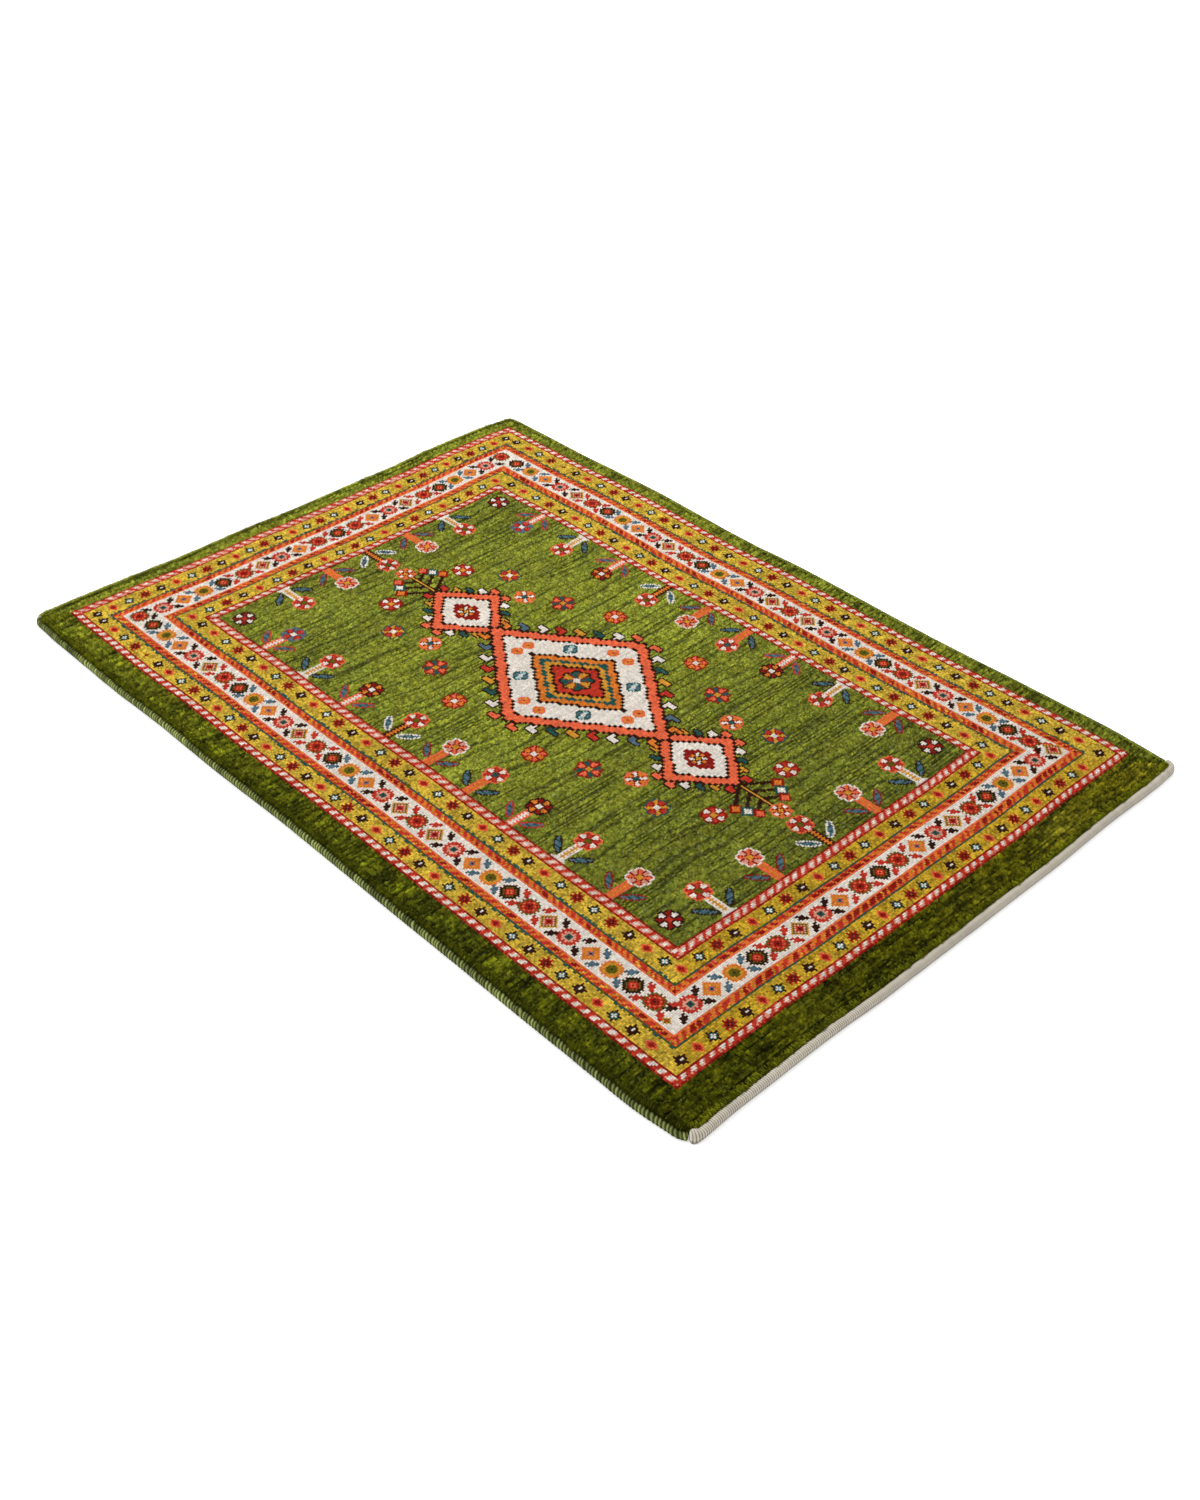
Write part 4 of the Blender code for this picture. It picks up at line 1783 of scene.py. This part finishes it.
@dataclass(frozen=True)
class BackWeave:
    """The cloth's back, where each knot shows as a small block of its colour."""

    plan: RugPlan
    chart: RugChart
    coarse: int = 2  # knots to each side of a block
    nub: float = 0.25 * MM  # how far the blocks' corners stand off the floor
    inset: float = 0.8 * MM  # how far in from the pile's side the back ends
    taper: float = 3.0 * MM  # over what length the nubs shrink towards it
    bevel: float = 0.7 * MM  # how far its rim stands out above
    bevel_height: float = 1.2 * MM  # how high it does so
    hidden: float = 0.2 * MM  # how far its top reaches into the pile
    # least shade of a block, and how much lighter single ones are
    shade: Pair = (0.62, 0.3)
    # colour of its rim and its top, as sRGB shares
    plain: Triple = (0.55, 0.52, 0.42)
    # how high on the bake map the two bands of the rim start
    strips: Pair = (0.03, 0.042)
    strip: float = 0.01  # how high each of them is there

    def surface(self) -> Surface:
        """A slab: coloured cells below, a plain top hidden in the pile, and a bevelled rim.

        Returns:
            The mesh, with a face for each block of the weave.
        """
        sizes = self.plan.sizes
        wide, high = self.chart.columns // self.coarse, self.chart.rows // self.coarse
        j, i = np.mgrid[0 : high + 1, 0 : wide + 1].astype(float)
        x = (i / wide * 2 - 1) * (sizes.half_width - self.inset)
        y = (j / high * 2 - 1) * (sizes.half_length - self.inset)
        z = scatter(i, j, 61.0) * self.nub * np.clip(self.plan.inset(x, y) / self.taper, 0, 1)
        under = np.stack([*self.plan.place(*self.plan.rounded(x, y)), z], -1).reshape(-1, 3)
        index, ring = grid(high, wide)
        side = under[ring] + self._way_out(under[ring]) * self.bevel
        side[:, 2] = self.bevel_height
        top = side.copy()
        top[:, 2] = sizes.foundation + self.hidden
        side_index = len(under) + np.arange(len(ring))
        top_index = side_index + len(ring)
        cells = (index[:-1, :-1], index[1:, :-1], index[1:, 1:], index[:-1, 1:])
        cells = np.stack(cells, -1).ravel()
        bands = [
            np.stack([lower, np.roll(lower, -1), np.roll(upper, -1), upper], axis=1).ravel()
            for lower, upper in ((ring, side_index), (side_index, top_index))
        ]
        dyes = self.chart.dye[:: self.coarse, :: self.coarse][:high, :wide]
        shade = self.shade[0] + self.shade[1] * scatter(i[:-1, :-1], j[:-1, :-1], 67.0)
        cell_colours = (palette()[dyes] * shade[..., None]).reshape(-1, 3).repeat(4, axis=0)
        flat = np.stack([i / wide, j / high], -1).reshape(-1, 2) * MAP_SCALE + MAP_START
        strips = [
            band_map(len(ring), (0, 1, 1, 0), (low, low, low + self.strip, low + self.strip))
            for low in self.strips
        ]
        cap = disc_map(np.arange(len(ring)) / len(ring), 0.008, (0.015, 0.015))
        return Surface(
            points=np.vstack([under, side, top]),
            corners=np.concatenate([cells, *bands, top_index]),
            sizes=np.repeat([4, len(ring)], [wide * high + 2 * len(ring), 1]),
            colours=np.vstack([cell_colours, np.tile(linear(self.plain), (len(ring) * 9, 1))]),
            flat_map=np.vstack([flat[cells], *strips, cap]),
        )

    @staticmethod
    def _way_out(ring: Array) -> Array:
        """The level way out of a ring that runs against the clock.

        Args:
            ring: its points.

        Returns:
            For each, a metre at right angles to the line between its neighbours.
        """
        run = (np.roll(ring, -1, axis=0) - np.roll(ring, 1, axis=0)) * (1, 1, 0)
        run /= np.maximum(np.linalg.norm(run, axis=1, keepdims=True), 1e-9)
        return np.stack([run[:, 1], -run[:, 0], run[:, 2]], axis=1)


# -------------------- cords and rim


@dataclass(frozen=True)
class CordStyle:
    """A cord along the rim, with its winding, in metres."""

    width: float
    height: float
    pitch: float  # from one turn of the winding to the next
    slant: float  # how many turns the winding slants by over once round the cord
    ridge: float  # how far the winding stands out of its grooves
    steps: int
    dome: float  # over what length each end is rounded off
    colour: Triple
    # colour in the grooves between turns, darker with painted shade
    groove_shade: Triple
    mottle: float  # how much the turns differ in shade
    sides: int = 14
    crisp: float = 1.0  # how narrow the ridges with painted light are
    under_shade: float = 0.5  # how light the lower side is: painted shade
    inner_shade: float = 1.0  # how light the side under the pile's edge is: painted shade
    knob: float = 0.0  # how much thicker the cord is just past its start
    knob_length: float = 9.0 * MM  # how long that place is
    fullness: float = 2.6  # power of the oval: 2 for an ellipse, more for a fuller one
    plump: float = 0.08  # how much the thickness wanders, as a share
    plump_length: float = 23.0 * MM  # over what length it does
    mottle_length: float = 60.0 * MM  # over what length the shade wanders


SELVEDGE = CordStyle(
    8.3 * MM, 8.6 * MM, pitch=4.6 * MM, slant=2.2, ridge=0.8 * MM, steps=6, dome=1.2 * MM,
    colour=(0.60, 0.62, 0.38), groove_shade=(0.18, 0.22, 0.06), mottle=1.1, crisp=7.0, inner_shade=0.45,
)
BINDING = CordStyle(
    10.2 * MM, 10.6 * MM, pitch=2.7 * MM, slant=0.3, ridge=0.5 * MM, steps=4, dome=3.0 * MM,
    colour=(0.775, 0.745, 0.685), groove_shade=(0.36, 0.33, 0.27), mottle=0.14, knob=0.34,
)
FAR_BINDING = replace(BINDING, width=9.2 * MM, height=8.6 * MM, knob=0.0)


@dataclass(frozen=True)
class RimCord:
    """One cord beside the pile."""

    rim: Rim
    style: CordStyle
    start: float
    end: float

    def surface(self) -> Surface:
        """Sweep the section along the rim.

        The point at angle t is out by half the width times 1 + r cos t, and up by half the height
        times 1 + r sin t, cut flat at the floor. r is the cord's thickness there.

        Returns:
            The closed mesh of the cord.
        """
        style = self.style
        turns = max(2, round((self.end - self.start) / style.pitch))
        run = np.linspace(self.start, self.end, turns * style.steps + 1)[:, None]
        angle = np.linspace(0, 2 * math.pi, style.sides, endpoint=False)[None] - math.pi / 2
        phase = (run - self.start) / (self.end - self.start) * turns
        phase = phase + angle / (2 * math.pi) * style.slant
        phase = phase + (wave(run, style.pitch * 1.6, 69.0) - 0.5) * style.mottle * 0.6
        hump = np.abs(np.sin(math.pi * phase)) ** 0.8
        thick = self._thickness(run, angle, hump)
        gap = self.rim.plan.sizes.gap
        out = gap + style.width / 2 * (1 + np.cos(angle) * thick)
        up = np.clip(style.height / 2 * (1 + np.sin(angle) * thick), 0.0, None)
        x, y = self.rim.at(run + out * 0, np.maximum(out, gap * 0.5))
        index = np.arange(len(run) * style.sides).reshape(len(run), style.sides)
        a, b = index[:-1], index[1:]
        quads = np.stack([a, b, np.roll(b, -1, axis=1), np.roll(a, -1, axis=1)], -1)
        corners = np.concatenate([quads.ravel(), index[0], index[-1][::-1]])
        return Surface(
            points=np.stack([x, y, up], axis=-1).reshape(-1, 3),
            corners=corners,
            sizes=np.repeat([4, style.sides], [quads[..., 0].size, 2]),
            colours=self._colours(run, angle, np.floor(phase), hump)[corners],
            flat_map=self._flat_map(len(run), style.sides),
        )

    def _thickness(self, run: Array, angle: Array, hump: Array) -> Array:
        """How thick the cord is, as a share of its section.

        The section is the sum of |cos t| and |sin t|, each to the power of the fullness, to the
        power of -1 / fullness. The ridges stand out of it, the ends are quarter ellipses, and the
        knob swells by a bell curve.

        Args:
            run: stations along the cord.
            angle: angles round it.
            hump: how high the winding stands there, from 0 to 1.

        Returns:
            The share at each point.
        """
        style = self.style
        from_end = np.minimum(run - self.start, self.end - run) / style.dome
        draw = np.sqrt(np.clip(1 - (1 - np.clip(from_end, 0.0, 1.0)) ** 2, 0.02, 1.0))
        plump = 1 + (wave(run, style.plump_length, 71.0) - 0.5) * style.plump
        bell = np.exp(-(((run - self.start) / style.knob_length - 0.5) ** 2) * 3)
        reach = style.ridge * (hump - 1) / (style.width / 2) + 1
        reach = reach * draw * (plump + style.knob * bell)
        power = style.fullness
        oval = np.abs(np.cos(angle)) ** power + np.abs(np.sin(angle)) ** power
        return reach * oval ** (-1 / power)

    def _colours(
        self, run: Array, angle: Array, turn: Array, hump: Array
    ) -> Array:
        """Colour the winding with painted light and shade: lit ridges, shaded grooves, and a shaded
        lower side and inner side.

        Args:
            run: stations along the cord.
            angle: angles round it.
            turn: number of the winding's turn there.
            hump: how high the winding stands there.

        Returns:
            The linear colour of each point.
        """
        style = self.style
        # painted shade on the lower side and on the side under the pile's edge
        shade = np.where(np.sin(angle) < -0.2, style.under_shade, 1.0)
        shade = shade * (1 - (1 - style.inner_shade) * np.clip(0.5 - np.cos(angle), 0.0, 1.0))
        shade = shade * (1 + (chance(turn, 73.0) - 0.5) * style.mottle)
        shade = shade * (1 + (wave(run, style.mottle_length, 79.0) - 0.5) * style.mottle * 0.6)
        light = (hump**style.crisp)[..., None]
        colours = linear(style.colour) * light + linear(style.groove_shade) * (1 - light)
        return (colours * shade[..., None]).reshape(-1, 3)

    @staticmethod
    def _flat_map(count: int, sides: int, rows: int = 10) -> Array:
        """Bake map: the skin in rows one above the other, and the ends in a corner.

        Args:
            count: stations along the cord.
            sides: points round it.
            rows: rows of the map.

        Returns:
            The map's place of each corner.
        """
        s, k = np.mgrid[0 : count - 1, 0:sides].astype(float)
        in_row = math.ceil((count - 1) / rows)
        row, along = s // in_row, s % in_row
        u = np.stack([along, along + 1, along + 1, along], -1) / in_row * 0.96 + 0.02
        v = np.stack([k, k, k + 1, k + 1], -1) / sides * 0.9
        v = (v + row[..., None] + 0.05) / rows * 0.95 + 0.04
        skin = np.stack([u, v], -1).reshape(-1, 2)
        share = np.arange(sides) / sides
        ends = disc_map(share, 0.012, (0.02, 0.02)), disc_map(share[::-1], 0.012, (0.06, 0.02))
        return np.vstack([skin, *ends])


@dataclass(frozen=True)
class Overhang:
    """How the loose tufts hang on one side of the rug."""

    reach: float  # how much further out they reach, in millimetres
    by_tuft: float  # how much further the thick ones reach
    steep: float
    dye: Dye


OVERHANGS = {
    Side.LEFT: Overhang(0.2, 2.6, 1.6, Dye.GUARD_GREEN),
    Side.RIGHT: Overhang(0.0, 0.0, 1.0, Dye.FIELD_GREEN),
    Side.NEAR: Overhang(-1.44, 3.6, 0.5, Dye.GUARD_GREEN),
    Side.FAR: Overhang(3.4, 0.0, 0.4, Dye.FIELD_GREEN),
}


@dataclass(frozen=True)
class RimTufts:
    """Loose tufts along the rim that hang over the cords, with lengths in millimetres."""

    rim: Rim
    spacing: float = 0.62
    width: float = 2.0
    end: float = 3.0  # how much of the rim is bare at its start and its end
    # least reach, and how much more by chance, by thickness and by a root's depth
    reach: tuple[float, float, float, float] = (0.7, 1.3, 3.6, -3.0)
    # least distance of a root in from the pile's side, and how much more some have
    root: Pair = (0.6, 5.2)
    drop: Pair = (1.4, 1.4)  # least drop of a tip, and how much more some have
    sway: float = 3.0  # how far the tips sway along the rim
    # least shade of a tuft, and how much lighter single ones are
    shade: Pair = (0.6, 0.7)
    opening: float = 1.5  # how much the guard's blotches differ
    left_shade: float = 0.42  # painted shade at the left shoulder: what the left side's painted light is multiplied by
    # painted shade at the roots and painted light at the tip: shade of the two root points, the
    # upper one and the tip
    tip_shade: tuple[float, float, float, float] = (0.7, 0.7, 0.9, 1.3)

    def surface(self) -> Surface:
        """One closed spike of four triangles for each tuft, from the shoulder out and down.

        Returns:
            The mesh of all the tufts.
        """
        length = self.rim.run[-1]
        number = np.arange(int(length / (self.spacing * MM))).astype(float)
        run = (number + chance(number, 83.0)) * self.spacing * MM
        run = np.clip(run, self.end * MM, length - self.end * MM)
        side = self.rim.side(run)
        even, by_tuft, steep = (self._by_side(side, name) for name in ("reach", "by_tuft", "steep"))
        tuft = wave(run, 13 * MM, 91.0) * 0.6 + wave(run, 4.5 * MM, 92.0) * 0.4
        inwards = chance(number, 101.0) ** 2
        least, by_chance, by_thickness, by_depth = self.reach
        reach = least + by_chance * chance(number, 89.0) + by_thickness * tuft
        reach = (reach + by_depth * inwards + even + by_tuft * tuft) * MM
        root = -(self.root[0] + self.root[1] * inwards) * MM
        root_z = self.rim.plan.height(-root)
        half = self.width * MM / 2 * (0.7 + 0.6 * chance(number, 103.0))
        drop = (self.drop[0] + self.drop[1] * chance(number, 107.0)) * steep * MM
        sway = (chance(number, 109.0) - 0.5) * self.sway * MM
        spots = (
            (run - half, root, root_z - 0.6 * MM),
            (run + half, root, root_z - 0.6 * MM),
            (run, root - 0.3 * MM, root_z + 0.5 * MM),
            (run + sway, reach, root_z - drop),
        )
        parts = [np.stack([*self.rim.at(at_run, out), z], -1) for at_run, out, z in spots]
        faces = np.array([[0, 1, 2], [0, 3, 1], [1, 3, 2], [2, 3, 0]])
        corners = (np.arange(len(run))[:, None, None] * 4 + faces[None]).reshape(-1)
        return Surface(
            points=np.stack(parts, axis=1).reshape(-1, 3),
            corners=corners,
            sizes=np.full(len(run) * 4, 3),
            colours=self._colours(number, side, *self.rim.at(run, root))[corners],
            flat_map=self._flat_map(len(run) * 4),
        )

    @staticmethod
    def _by_side(side: Array, name: str) -> Array:
        """One number of the side that each tuft is on."""
        return np.array([getattr(OVERHANGS[each], name) for each in Side])[side]

    def _colours(self, number: Array, side: Array, x: Array, y: Array) -> Array:
        """Colour the tufts like the pile beside them, with painted shade at the roots and on the
        left, and painted light at the tips.

        Args:
            number: of each tuft.
            side: the side of the rug that it is on.
            x: place of its root across the rug.
            y: place of its root along it.

        Returns:
            The linear colour of each tuft's four points.
        """
        shade = self.shade[0] + self.shade[1] * chance(number, 113.0)
        shade = shade * (1 + blotches(x, y) * self.opening)
        left = self.left_shade * LEFT_SHADE.at(self.rim.plan.shares(x, y)[1])
        shade = np.where(side == Side.LEFT, shade * left, shade)
        dyed = palette()[self._by_side(side, "dye")] * shade[:, None]
        return (dyed[:, None] * np.array(self.tip_shade)[:, None]).reshape(-1, 3)

    @staticmethod
    def _flat_map(count: int) -> Array:
        """Bake map: each triangle in a square cell of its own.

        Args:
            count: of the triangles.

        Returns:
            The map's place of each corner.
        """
        across = math.ceil(math.sqrt(count))
        face = np.arange(count)
        cell = np.stack([face % across, face // across], 1)[:, None]
        triangle = np.array([[0.1, 0.1], [0.9, 0.1], [0.1, 0.9]])[None]
        return ((cell + triangle) / across).reshape(-1, 2)


# -------------------- the rug


class Rug:
    """The whole rug: pile, back, cords and loose tufts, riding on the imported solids."""

    def __init__(self) -> None:
        """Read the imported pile's box and plan everything from it."""
        self.sizes = RugSizes()
        self.plan = RugPlan(self.sizes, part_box("pile_body"))
        self.chart = RugChart()
        self.pile = PileSurface(self.plan, self.chart)
        self.wool = PILE_WOOL.material()

    def build(self) -> list[bpy.types.Object]:
        """Returns:
            The pieces, the back first.
        """
        pile = self._pile_pieces()
        cords = self._cords()
        tufts = RimTufts(Rim(self.plan, SELVEDGE.width)).surface().piece("rim_tufts", self.wool)
        back = BackWeave(self.plan, self.chart).surface().piece("back_weave", BACK_WOOL.material())
        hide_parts("pile_body")
        others = [*pile, tufts, *cords]
        for piece in (back, *others):
            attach(piece, "root")
        return [back, *others]

    def _pile_pieces(self) -> list[bpy.types.Object]:
        """The pile in six blocks, each small enough to handle by itself.

        Returns:
            The blocks' pieces.
        """
        block = self.chart.field_block
        middle = (block.near + block.far) // 2
        columns, rows = self.chart.columns, self.chart.rows
        blocks = {
            "pile_field_near": Block(block.left, block.right, block.near, middle),
            "pile_field_far": Block(block.left, block.right, middle, block.far),
            "pile_border_near": Block(0, columns, 0, block.near),
            "pile_border_far": Block(0, columns, block.far, rows),
            "pile_border_left": Block(0, block.left, block.near, block.far),
            "pile_border_right": Block(block.right, columns, block.near, block.far),
        }
        made = []
        for name, part in blocks.items():
            piece = self.pile.patch(part).piece(name, self.wool)
            made.append(piece)
        return made

    def _cords(self) -> list[bpy.types.Object]:
        """The selvedges and the bindings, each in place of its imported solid.

        Returns:
            The cords' pieces.
        """
        sides, ends = Rim(self.plan, SELVEDGE.width), Rim(self.plan, BINDING.width)
        wool, cotton = CORD_WOOL.material(), BINDING_COTTON.material()
        half_gap, (near_right, far_right) = self.sizes.gap / 2, self.sizes.right_trim
        near_right, far_right = near_right + half_gap, far_right - half_gap
        first, last = sides.arc(1, 1.0) + near_right, sides.arc(2, 0.0) + far_right
        near_end, far_start = ends.arc(1, 1.0) + near_right, ends.arc(2, 0.0) + far_right
        runs = {
            "selvedge_left": (sides, SELVEDGE, sides.arc(3, 0.5), sides.run[-1], wool),
            "selvedge_right": (sides, SELVEDGE, first, last, wool),
            "end_binding_near": (ends, BINDING, 0.0, near_end, cotton),
            "end_binding_far": (ends, FAR_BINDING, far_start, ends.arc(3, 0.5), cotton),
        }
        made = []
        for name, (rim, style, start, end, material) in runs.items():
            cord = RimCord(rim, style, start + half_gap, end - half_gap)
            piece = cord.surface().piece(name + "_wound", material)
            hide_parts(name)
            made.append(piece)
        return made


# -------------------- camera and light


@dataclass(frozen=True)
class SoftLight:
    """A square soft light that looks at the rug."""

    name: str
    place: Triple
    size: float
    watts: float

    def build(self) -> None:
        """Add the light to the scene."""
        data = bpy.data.lights.new(self.name, "AREA")
        data.shape = "SQUARE"
        data.size = self.size
        data.energy = self.watts
        made = bpy.data.objects.new(self.name, data)
        made.location = self.place
        made.rotation_mode = "QUATERNION"
        made.rotation_quaternion = (-Vector(self.place)).to_track_quat("-Z", "Y")
        bpy.context.scene.collection.objects.link(made)


@dataclass(frozen=True)
class Studio:
    """The plain studio: camera, floor, sky and lights."""

    camera_place: Triple = (-1.2432, -1.2721, 1.2934)  # where the camera stands
    # its way to the right
    camera_right: Triple = (0.71711942, -0.69646113, 0.02610794)
    camera_down: Triple = (-0.41328126, -0.45510628, -0.7887185)  # its way down
    lens: float = 42.15
    clip: Pair = (0.05, 60.0)  # the nearest and the farthest that it sees
    floor_size: float = 14.0
    floor_height: float = -0.2 * MM  # just under the rug
    floor_grey: float = 0.96
    floor_glow: float = 0.35  # how much light of its own it gives
    sky: float = 0.85  # how strong the sky's light is

    def build(self) -> None:
        """Set everything up."""
        self._camera()
        self._floor()
        self._sky()
        SoftLight("key_light", (1.6, 2.2, 2.6), 1.8, 95.0).build()
        SoftLight("fill_light", (-2.6, 0.6, 2.4), 2.0, 30.0).build()
        bpy.context.scene.view_settings.view_transform = "Standard"

    def _camera(self) -> None:
        """A camera at the viewing angle: its axes are right, up and back."""
        right, up = Vector(self.camera_right), -Vector(self.camera_down)
        back = right.cross(up)
        data = bpy.data.cameras.new("camera")
        data.lens = self.lens
        data.sensor_width = 36.0
        data.clip_start, data.clip_end = self.clip
        made = bpy.data.objects.new("camera", data)
        turn = Matrix((right, up, back)).transposed().to_4x4()
        made.matrix_world = Matrix.Translation(self.camera_place) @ turn
        bpy.context.scene.collection.objects.link(made)
        bpy.context.scene.camera = made

    def _floor(self) -> None:
        """A plain pale floor under the rug."""
        half = self.floor_size / 2
        mesh = bpy.data.meshes.new("floor")
        corners = [(x * half, y * half, self.floor_height) for x, y in CORNERS]
        mesh.from_pydata(corners, [], [(0, 1, 2, 3)])
        material = bpy.data.materials.new("floor")
        material.use_nodes = True
        shader = material.node_tree.nodes["Principled BSDF"]
        shader.inputs["Base Color"].default_value = (*[self.floor_grey] * 3, 1.0)
        shader.inputs["Emission Color"].default_value = (1.0, 1.0, 1.0, 1.0)
        shader.inputs["Emission Strength"].default_value = self.floor_glow
        shader.inputs["Roughness"].default_value = 1.0
        shader.inputs["Specular IOR Level"].default_value = 0.0
        mesh.materials.append(material)
        floor = bpy.data.objects.new("floor", mesh)
        bpy.context.scene.collection.objects.link(floor)

    def _sky(self) -> None:
        """An even white sky."""
        world = bpy.data.worlds.new("sky")
        world.use_nodes = True
        world.node_tree.nodes["Background"].inputs["Color"].default_value = (1.0, 1.0, 1.0, 1.0)
        world.node_tree.nodes["Background"].inputs["Strength"].default_value = self.sky
        bpy.context.scene.world = world


def main() -> None:
    """Build the rug and its studio."""
    logging.basicConfig(level=logging.INFO, format="%(name)s: %(message)s")
    Rug().build()
    Studio().build()


if __name__ == "__main__":
    main()
